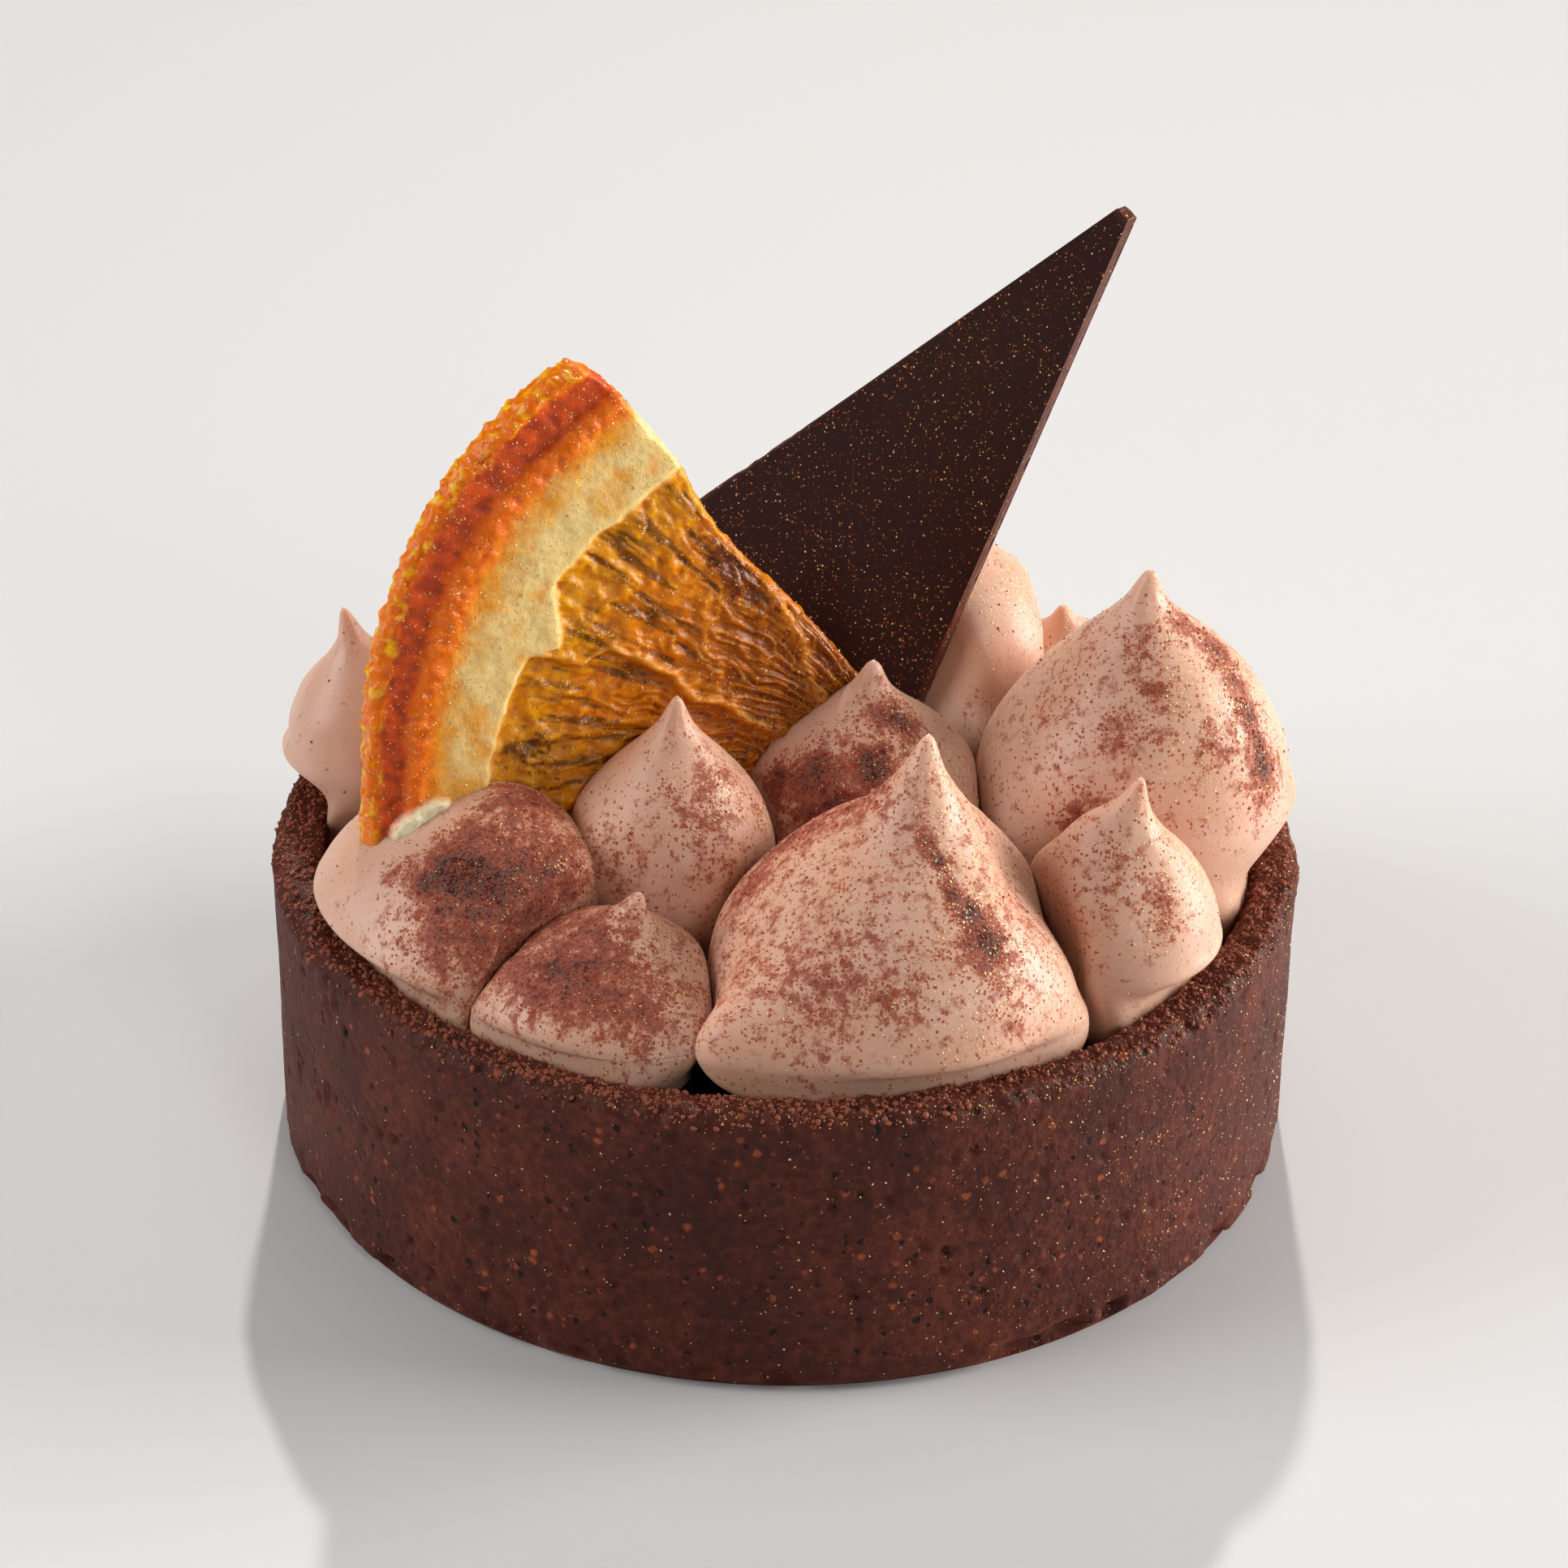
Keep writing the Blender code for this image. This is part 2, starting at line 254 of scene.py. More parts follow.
@dataclass(frozen=True)
class Shortcrust:
    """Cocoa shortcrust baked against a metal ring: matt, close and full of small pits."""

    dark: str = "#38150f"
    middle: str = "#4b1d14"
    light: str = "#612c1c"
    fleck: str = "#b25a34"
    sheen: str = "#b8563a"
    # the near black laid in the pits: painted shade
    pit_shade: str = "#1a0806"

    def build(self) -> bpy.types.Material:
        """Make the material: mottled brown, butter flecks, pits darkened with painted shade and a fine crumb."""
        material, tree, shader = new_material("baked_cocoa_shortcrust")
        place = add_node(tree, "ShaderNodeTexCoord").outputs["Object"]
        # patches of 6 mm, where the dough baked darker or lighter
        patches = add_node(tree, "ShaderNodeTexNoise", inputs={"Vector": place, "Scale": 1 / (6 * MM), "Detail": 2.0})
        # crumbs of 0.7 mm
        crumb = add_node(
            tree, "ShaderNodeTexNoise",
            inputs={"Vector": place, "Scale": 1 / (0.7 * MM), "Detail": 4.0, "Roughness": 0.6},
        )
        ragged = add_node(
            tree, "ShaderNodeVectorMath", settings={"operation": "MULTIPLY_ADD"},
            inputs={0: crumb.outputs["Color"], 1: (0.6 * MM, 0.6 * MM, 0.6 * MM), 2: place},
        ).outputs["Vector"]
        hole = self.spots(tree, ragged, spacing=0.9 * MM, share=0.60, width=0.32)
        fleck = self.spots(tree, ragged, spacing=1.1 * MM, share=0.55, width=0.30)
        tone = add_node(
            tree, "ShaderNodeMath", settings={"operation": "MULTIPLY_ADD"},
            inputs={0: patches.outputs["Fac"], 1: 0.40, 2: 0.0},
        )
        tone = add_node(
            tree, "ShaderNodeMath", settings={"operation": "MULTIPLY_ADD"},
            inputs={0: crumb.outputs["Fac"], 1: 0.60, 2: tone.outputs[0]},
        )
        colour = add_node(
            tree, "ShaderNodeValToRGB",
            settings={"stops": [(0.38, self.dark), (0.50, self.middle), (0.62, self.light)]},
            inputs={"Fac": tone.outputs[0]},
        )
        part_fleck = add_node(
            tree, "ShaderNodeMath", settings={"operation": "MULTIPLY"}, inputs={0: fleck, 1: crumb.outputs["Fac"]}
        )
        flecked = add_node(
            tree, "ShaderNodeMix", settings={"data_type": "RGBA"},
            inputs={0: part_fleck.outputs[0], 6: colour.outputs["Color"], 7: linear(self.fleck)},
        )
        # painted shade: the pits that the bump presses in are also coloured near black, as shade in the recesses
        pitted_and_shaded = add_node(
            tree, "ShaderNodeMix", settings={"data_type": "RGBA"},
            inputs={0: hole, 6: flecked.outputs[2], 7: linear(self.pit_shade)},
        )
        # the crumb's own relief rides on lumps of 1.6 mm
        lumps = add_node(
            tree, "ShaderNodeTexNoise", inputs={"Vector": place, "Scale": 1 / (1.6 * MM), "Detail": 2.0}
        )
        relief = add_node(
            tree, "ShaderNodeMath", settings={"operation": "MULTIPLY_ADD"},
            inputs={0: lumps.outputs["Fac"], 1: 0.8, 2: crumb.outputs["Fac"]},
        )
        relief = add_node(
            tree, "ShaderNodeMath", settings={"operation": "SUBTRACT"},
            inputs={0: relief.outputs[0], 1: hole},
        )
        bump = add_node(
            tree, "ShaderNodeBump",
            inputs={"Height": relief.outputs[0], "Distance": 0.19 * MM, "Strength": 1.0},
        )
        tree.links.new(pitted_and_shaded.outputs[2], shader.inputs["Base Color"])
        tree.links.new(bump.outputs["Normal"], shader.inputs["Normal"])
        shader.inputs["Roughness"].default_value = 0.58
        shader.inputs["IOR"].default_value = 1.30
        shader.inputs["Sheen Weight"].default_value = 0.22
        shader.inputs["Sheen Roughness"].default_value = 0.45
        shader.inputs["Sheen Tint"].default_value = linear(self.sheen)
        return material

    def spots(
        self, tree: bpy.types.NodeTree, place: bpy.types.NodeSocket, spacing: float, share: float, width: float
    ) -> bpy.types.NodeSocket:
        """Scatter soft round spots.

        Args:
            tree: The node tree.
            place: Where on the piece.
            spacing: The distance between places for a spot, in metres.
            share: The share of places that have one.
            width: The largest radius, in spacings.

        Returns:
            1 in the middle of a spot, 0 beside it.
        """
        dots = add_node(tree, "ShaderNodeTexVoronoi", inputs={"Vector": place, "Scale": 1 / spacing})
        pick = add_node(tree, "ShaderNodeSeparateColor", inputs={"Color": dots.outputs["Color"]})
        radius = add_node(
            tree, "ShaderNodeMapRange",
            inputs={"Value": pick.outputs["Red"], "From Min": 1 - share, "From Max": 1.0, "To Min": -0.05, "To Max": width},
        )
        gap = add_node(
            tree, "ShaderNodeMath", settings={"operation": "SUBTRACT"},
            inputs={0: radius.outputs["Result"], 1: dots.outputs["Distance"]},
        )
        return add_node(
            tree, "ShaderNodeMapRange", settings={"interpolation_type": "SMOOTHSTEP"},
            inputs={"Value": gap.outputs[0], "From Min": -0.04, "From Max": 0.10, "To Min": 0.0, "To Max": 1.0},
        ).outputs["Result"]


@dataclass(frozen=True)
class Ganache:
    """Set dark ganache: nearly black, with the low gloss of butter fat."""

    colour: str = "#24120d"

    def build(self) -> bpy.types.Material:
        """Make the material: dark brown with soft ripples from spreading."""
        material, tree, shader = new_material("set_ganache")
        place = add_node(tree, "ShaderNodeTexCoord").outputs["Object"]
        ripples = add_node(
            tree, "ShaderNodeTexNoise", inputs={"Vector": place, "Scale": 1 / (3 * MM), "Detail": 3.0}
        )
        bump = add_node(
            tree, "ShaderNodeBump", inputs={"Height": ripples.outputs["Fac"], "Distance": 0.3 * MM}
        )
        tone = add_node(
            tree, "ShaderNodeValToRGB",
            settings={"stops": [(0.3, "#1a0c08"), (0.7, self.colour)]},
            inputs={"Fac": ripples.outputs["Fac"]},
        )
        tree.links.new(tone.outputs["Color"], shader.inputs["Base Color"])
        tree.links.new(bump.outputs["Normal"], shader.inputs["Normal"])
        shader.inputs["Roughness"].default_value = 0.42
        return material


@dataclass(frozen=True)
class DustedCream:
    """Whipped milk chocolate cream under sieved cocoa: satin, soft and slightly see-through."""

    cream: str = "#dfb5a0"
    warm: str = "#d9a98e"
    powder: str = "#b25636"
    heap: str = "#8c3828"
    thick_powder: str = "#401517"
    # pale gold of the dust specks, placed where the highlight falls: partly a painted highlight
    gilt_highlight: str = "#ffecb8"

    def build(self) -> bpy.types.Material:
        """Make the material: cream, with cocoa grains and powder where the "cocoa" attribute says."""
        material, tree, shader = new_material("dusted_whipped_cream")
        place = add_node(tree, "ShaderNodeTexCoord").outputs["Object"]
        cocoa = add_node(tree, "ShaderNodeAttribute", settings={"attribute_name": "cocoa"}).outputs["Fac"]
        cloud = add_node(
            tree, "ShaderNodeTexNoise", inputs={"Vector": place, "Scale": 1 / (5 * MM), "Detail": 2.0}
        )
        base = add_node(
            tree, "ShaderNodeValToRGB",
            settings={"stops": [(0.35, self.cream), (0.7, self.warm)]},
            inputs={"Fac": cloud.outputs["Fac"]},
        )
        # a warp of a sixth of a millimetre makes the grains ragged
        ragged = add_node(
            tree, "ShaderNodeTexNoise", inputs={"Vector": place, "Scale": 1 / (0.25 * MM), "Detail": 2.0}
        )
        warp = add_node(
            tree, "ShaderNodeVectorMath", settings={"operation": "MULTIPLY_ADD"},
            inputs={0: ragged.outputs["Color"], 1: (0.35 * MM, 0.35 * MM, 0.35 * MM), 2: place},
        ).outputs["Vector"]
        fine = self.grains(tree, warp, cocoa, spacing=0.24 * MM, share=1.1, least=0.0)
        coarse = self.grains(tree, warp, cocoa, spacing=0.65 * MM, share=0.45, least=-0.04)
        drifts = add_node(
            tree, "ShaderNodeTexNoise",
            inputs={"Vector": warp, "Scale": 1 / (1.0 * MM), "Detail": 5.0, "Roughness": 0.74},
        ).outputs["Fac"]
        thick = add_node(
            tree, "ShaderNodeMath", settings={"operation": "MULTIPLY_ADD"}, inputs={0: cocoa, 1: 0.30, 2: drifts}
        ).outputs[0]
        haze = add_node(
            tree, "ShaderNodeMapRange", settings={"interpolation_type": "SMOOTHSTEP"},
            inputs={"Value": thick, "From Min": 0.61, "From Max": 0.77, "To Min": 0.0, "To Max": 0.85},
        ).outputs["Result"]
        dots = add_node(tree, "ShaderNodeMath", settings={"operation": "MAXIMUM"}, inputs={0: fine, 1: coarse})
        dusting = add_node(
            tree, "ShaderNodeMath", settings={"operation": "MAXIMUM"}, inputs={0: dots.outputs[0], 1: haze}
        ).outputs[0]
        depth = add_node(
            tree, "ShaderNodeValToRGB",
            settings={"stops": [(0.66, self.powder), (0.84, self.heap), (1.0, self.thick_powder)]},
            inputs={"Fac": thick},
        )
        dusted = add_node(
            tree, "ShaderNodeMix", settings={"data_type": "RGBA"},
            inputs={0: dusting, 6: base.outputs["Color"], 7: depth.outputs["Color"]},
        )
        # specks of pale gold where the "gold" attribute says: real gold dust, thickest where the side light's
        # highlight falls, so also a painted highlight
        gold = add_node(tree, "ShaderNodeAttribute", settings={"attribute_name": "gold"}).outputs["Fac"]
        specks = self.grains(tree, place, gold, spacing=0.17 * MM, share=1.0, least=0.0)
        gilded_and_highlit = add_node(
            tree, "ShaderNodeMix", settings={"data_type": "RGBA"},
            inputs={0: specks, 6: dusted.outputs[2], 7: linear(self.gilt_highlight)},
        )
        rough = add_node(
            tree, "ShaderNodeMapRange", inputs={"Value": dusting, "To Min": 0.38, "To Max": 0.8}
        )
        ripples = add_node(
            tree, "ShaderNodeTexNoise", inputs={"Vector": place, "Scale": 1 / (0.8 * MM), "Detail": 2.0}
        )
        relief = add_node(
            tree, "ShaderNodeMath", settings={"operation": "MULTIPLY_ADD"},
            inputs={0: dusting, 1: 0.3, 2: ripples.outputs["Fac"]},
        )
        bump = add_node(
            tree, "ShaderNodeBump",
            inputs={"Height": relief.outputs[0], "Distance": 0.05 * MM, "Strength": 0.6},
        )
        tree.links.new(gilded_and_highlit.outputs[2], shader.inputs["Base Color"])
        tree.links.new(rough.outputs["Result"], shader.inputs["Roughness"])
        tree.links.new(bump.outputs["Normal"], shader.inputs["Normal"])
        shader.inputs["Subsurface Weight"].default_value = 0.4
        shader.inputs["Subsurface Radius"].default_value = (1.0, 0.6, 0.4)
        shader.inputs["Subsurface Scale"].default_value = 1.6 * MM
        shader.inputs["IOR"].default_value = 1.4
        return material

    def grains(
        self,
        tree: bpy.types.NodeTree,
        place: bpy.types.NodeSocket,
        cocoa: bpy.types.NodeSocket,
        spacing: float,
        share: float,
        least: float,
    ) -> bpy.types.NodeSocket:
        """Scatter dots, more of them and larger where more cocoa lies.

        Args:
            tree: The node tree.
            place: Where on the piece.
            cocoa: How thickly cocoa lies.
            spacing: The distance between dots, in metres.
            share: The share of places with a dot for each unit of cocoa.
            least: Added to that share.

        Returns:
            1 on a dot, 0 beside it.
        """
        dots = add_node(tree, "ShaderNodeTexVoronoi", inputs={"Vector": place, "Scale": 1 / spacing})
        pick = add_node(tree, "ShaderNodeSeparateColor", inputs={"Color": dots.outputs["Color"]})
        chance = add_node(
            tree, "ShaderNodeMath", settings={"operation": "MULTIPLY_ADD"}, inputs={0: cocoa, 1: share, 2: least}
        )
        spare = add_node(
            tree, "ShaderNodeMath", settings={"operation": "SUBTRACT"},
            inputs={0: chance.outputs[0], 1: pick.outputs["Red"]},
        )
        radius = add_node(
            tree, "ShaderNodeMapRange",
            inputs={"Value": spare.outputs[0], "From Min": -0.03, "From Max": 0.25, "To Min": 0.0, "To Max": 0.46},
        )
        gap = add_node(
            tree, "ShaderNodeMath", settings={"operation": "SUBTRACT"},
            inputs={0: radius.outputs["Result"], 1: dots.outputs["Distance"]},
        )
        return add_node(
            tree, "ShaderNodeMapRange",
            inputs={"Value": gap.outputs[0], "From Min": -0.03, "From Max": 0.08, "To Min": 0.0, "To Max": 1.0},
        ).outputs["Result"]


@dataclass(frozen=True)
class DriedOrange:
    """Orange dried in the oven: leathery rind, chalky pith and glassy flesh."""

    powder: str = "#6a2d18"

    def build(self) -> bpy.types.Material:
        """Make the material: the piece's tint (its own colours, with painted light and shade on the flesh), gloss,
        fine pores and fallen cocoa.
        """
        material, tree, shader = new_material("oven_dried_orange")
        place = add_node(tree, "ShaderNodeTexCoord").outputs["Object"]
        tint = add_node(tree, "ShaderNodeVertexColor", settings={"layer_name": "tint"}).outputs["Color"]
        gloss = add_node(tree, "ShaderNodeAttribute", settings={"attribute_name": "gloss"}).outputs["Fac"]
        cocoa = add_node(tree, "ShaderNodeAttribute", settings={"attribute_name": "cocoa"}).outputs["Fac"]
        # pores and crystals of a quarter of a millimetre
        pores = add_node(
            tree, "ShaderNodeTexNoise",
            inputs={"Vector": place, "Scale": 1 / (0.5 * MM), "Detail": 4.0, "Roughness": 0.65},
        )
        shade = add_node(
            tree, "ShaderNodeMapRange",
            inputs={"Value": pores.outputs["Fac"], "From Min": 0.3, "From Max": 0.7, "To Min": 0.8, "To Max": 1.15},
        )
        varied = add_node(
            tree, "ShaderNodeVectorMath", settings={"operation": "SCALE"},
            inputs={0: tint, "Scale": shade.outputs["Result"]},
        )
        # cocoa powder that fell on the wedge
        covered = add_node(
            tree, "ShaderNodeMath", settings={"operation": "MULTIPLY_ADD"},
            inputs={0: cocoa, 1: 0.32, 2: pores.outputs["Fac"]},
        )
        dusting = add_node(
            tree, "ShaderNodeMapRange",
            inputs={"Value": covered.outputs[0], "From Min": 0.64, "From Max": 0.80, "To Min": 0.0, "To Max": 0.85},
        )
        colour = add_node(
            tree, "ShaderNodeMix", settings={"data_type": "RGBA"},
            inputs={0: dusting.outputs["Result"], 6: varied.outputs["Vector"], 7: linear(self.powder)},
        )
        rough = add_node(
            tree, "ShaderNodeMapRange", inputs={"Value": gloss, "To Min": 0.65, "To Max": 0.12}
        )
        bump = add_node(
            tree, "ShaderNodeBump",
            inputs={"Height": pores.outputs["Fac"], "Distance": 0.13 * MM, "Strength": 0.9},
        )
        tree.links.new(colour.outputs[2], shader.inputs["Base Color"])
        tree.links.new(rough.outputs["Result"], shader.inputs["Roughness"])
        tree.links.new(bump.outputs["Normal"], shader.inputs["Normal"])
        shader.inputs["Subsurface Weight"].default_value = 0.7
        shader.inputs["Subsurface Radius"].default_value = (0.8, 0.8, 0.5)
        shader.inputs["Subsurface Scale"].default_value = 1.2 * MM
        shader.inputs["IOR"].default_value = 1.38
        return material


@dataclass(frozen=True)
class TemperedChocolate:
    """Dark chocolate cut from a tempered sheet, brushed with gold and copper dust."""

    chocolate: str = "#2a0d08"
    broken_edge: str = "#7a4636"
    dust: tuple = ((0.0, "#6a1f12"), (0.5, "#8d3c1e"), (0.85, "#b8803c"), (0.97, "#f0d090"))

    def build(self) -> bpy.types.Material:
        """Make the material: near black and satin, with dust specks of several metals' colours."""
        material, tree, shader = new_material("tempered_dark_chocolate")
        place = add_node(tree, "ShaderNodeTexCoord").outputs["Object"]
        # drifts of 5 mm, where more dust stuck
        drifts = add_node(tree, "ShaderNodeTexNoise", inputs={"Vector": place, "Scale": 1 / (5 * MM)})
        specks = add_node(tree, "ShaderNodeTexVoronoi", inputs={"Vector": place, "Scale": 1 / (0.18 * MM)})
        pick = add_node(tree, "ShaderNodeSeparateColor", inputs={"Color": specks.outputs["Color"]})
        chance = add_node(
            tree, "ShaderNodeMath", settings={"operation": "MULTIPLY_ADD"},
            inputs={0: drifts.outputs["Fac"], 1: 0.5, 2: pick.outputs["Red"]},
        )
        size = add_node(
            tree, "ShaderNodeMapRange",
            inputs={"Value": chance.outputs[0], "From Min": 0.80, "From Max": 1.35, "To Min": 0.0, "To Max": 0.5},
        )
        dot = add_node(
            tree, "ShaderNodeMath", settings={"operation": "LESS_THAN"},
            inputs={0: specks.outputs["Distance"], 1: size.outputs["Result"]},
        )
        dust = add_node(
            tree, "ShaderNodeValToRGB", settings={"stops": list(self.dust)}, inputs={"Fac": pick.outputs["Green"]}
        )
        colour = add_node(
            tree, "ShaderNodeMix", settings={"data_type": "RGBA"},
            inputs={0: dot.outputs[0], 6: linear(self.chocolate), 7: dust.outputs["Color"]},
        )
        edge = add_node(tree, "ShaderNodeAttribute", settings={"attribute_name": "edge"}).outputs["Fac"]
        broken = add_node(
            tree, "ShaderNodeTexNoise", inputs={"Vector": place, "Scale": 1 / (0.8 * MM), "Detail": 2.0}
        )
        worn = add_node(
            tree, "ShaderNodeMath", settings={"operation": "MULTIPLY"}, inputs={0: edge, 1: broken.outputs["Fac"]}
        )
        edged = add_node(
            tree, "ShaderNodeMix", settings={"data_type": "RGBA"},
            inputs={0: worn.outputs[0], 6: colour.outputs[2], 7: linear(self.broken_edge)},
        )
        tree.links.new(edged.outputs[2], shader.inputs["Base Color"])
        shader.inputs["Roughness"].default_value = 0.38
        shader.inputs["IOR"].default_value = 1.28
        return material


@dataclass(frozen=True)
class PlainFinish:
    """A finish of one colour for grains too small to show more."""

    name: str
    colour: str
    roughness: float
    metallic: float = 0.0

    def build(self) -> bpy.types.Material:
        """Make the material."""
        material, _, shader = new_material(self.name)
        shader.inputs["Base Color"].default_value = linear(self.colour)
        shader.inputs["Roughness"].default_value = self.roughness
        shader.inputs["Metallic"].default_value = self.metallic
        return material


# ---------------------------------------------------------------- the case and its filling


@dataclass
class TartCase:
    """The cocoa shortcrust case, replaced by a finer shell with a crumbly rim."""

    node: str = "tart_case"
    wall: float = 3.4 * MM
    row: float = 0.32 * MM
    steps: int = 720
    depth: float = 5.0 * MM

    def build(self, material: bpy.types.Material) -> bpy.types.Object:
        """Turn the section, roughen it and dress it.

        Args:
            material: The shortcrust.

        Returns:
            The piece.
        """
        low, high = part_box(self.node)
        radius = (high[0] - low[0]) / 2
        height = high[2] - low[2]
        piece = self.turn(self.section(radius, height))
        self.roughen(piece.data, radius, height)
        finish_piece(piece, material, "shortcrust", self.node)
        return piece

    def section(self, radius: float, height: float) -> list[tuple[float, float]]:
        """The (radius, height) points from the middle of the underside, round the rim and inside."""
        edge = 0.8 * MM
        inner = radius - self.wall
        corners = [
            (0.0, 0.0), (radius * 0.5, 0.0), (radius - 0.7 * MM, 0.0), (radius, 0.7 * MM),
            (radius, height - edge), (radius - edge, height),
            (inner + edge, height), (inner, height - edge), (inner, height - self.depth),
        ]
        points = [corners[0]]
        for start, end in zip(corners, corners[1:]):
            length = math.dist(start, end)
            coarse = end[0] < radius - MM and end[1] == 0.0
            pieces = 6 if coarse else max(1, round(length / self.row))
            for step in range(1, pieces + 1):
                share = step / pieces
                points.append(tuple(a + (b - a) * share for a, b in zip(start, end)))
        points += [(inner * 0.5, height - self.depth), (0.0, height - self.depth)]
        return points

    def turn(self, points: list[tuple[float, float]]) -> bpy.types.Object:
        """Spin a section about Z to a closed shell."""
        mesh = bpy.data.meshes.new("shortcrust_case")
        edges = [(index, index + 1) for index in range(len(points) - 1)]
        mesh.from_pydata([(radius, 0.0, height) for radius, height in points], edges, [])
        piece = bpy.data.objects.new("shortcrust_case", mesh)
        bpy.context.scene.collection.objects.link(piece)
        with editing(piece):
            bpy.ops.mesh.spin(steps=count(self.steps), angle=TAU, center=(0, 0, 0), axis=(0, 0, 1))
            bpy.ops.mesh.select_all(action="SELECT")
            bpy.ops.mesh.remove_doubles(threshold=0.01 * MM)
            bpy.ops.mesh.normals_make_consistent(inside=False)
        return piece

    def roughen(self, mesh: bpy.types.Mesh, radius: float, height: float) -> None:
        """Give the smooth shell its crumb, pits, worn rim and chipped foot.

        Args:
            mesh: The shell's mesh.
            radius: The case's radius.
            height: The case's height.
        """
        points = read_points(mesh)
        normals = read_normals(mesh)
        outward = np.hypot(points[:, 0], points[:, 1])
        angle = np.arctan2(points[:, 1], points[:, 0])
        rim = soft_step(points[:, 2], height - 1.6 * MM, height - 0.3 * MM)
        wall = soft_step(outward, radius - 1.2 * MM, radius - 0.2 * MM)
        foot = soft_step(2.2 * MM - points[:, 2], 0.0, 1.8 * MM) * wall
        bumps = 0.14 * MM * waves(points, 7 * MM, 3.0)
        bumps += (0.03 + 0.12 * rim) * MM * waves(points, 1.5 * MM, 9.0, 3)
        pits = soft_step(0.36 - cells(points, 1.5 * MM), 0.0, 0.2)
        few = soft_step(waves(points, 3 * MM, 21.0), -0.1, 0.35)
        bumps -= 0.30 * MM * pits * few
        bumps += 0.22 * MM * rim * waves(points, 0.9 * MM, 33.0, 2)
        chips = soft_step(waves(points * (1, 1, 0.6), 4.5 * MM, 50.0, 2), 0.1, 0.6) * foot
        bumps -= 1.3 * MM * chips
        bumps -= 0.10 * MM
        upward = np.where(points[:, 2] < 0.2 * MM, 0.0, 1.0)
        points += normals * (bumps * (0.15 + 0.85 * np.maximum(wall, rim)) * upward)[:, None]
        points[:, 2] = np.clip(points[:, 2], 0.0, None)
        write_points(mesh, points)
        write_attribute(mesh, "rim", rim * (1 + 0 * angle))


@dataclass
class Filling:
    """The ganache that shows between the drops."""

    node: str = "dark_filling"

    def build(self, nodes: dict[str, bpy.types.Object], material: bpy.types.Material) -> None:
        """Dress the CAD solid, whose flat top is right."""
        solid = nodes[self.node]
        for index in range(len(solid.data.materials)):
            solid.data.materials[index] = material
        LOG.info("%s dressed", self.node)


# ---------------------------------------------------------------- the cream


@dataclass(frozen=True)
class Patch:
    """A place where cocoa lies, in millimetres: its middle, how far it spreads and how thickly."""

    x: float
    y: float
    z: float
    spread: float
    cover: float


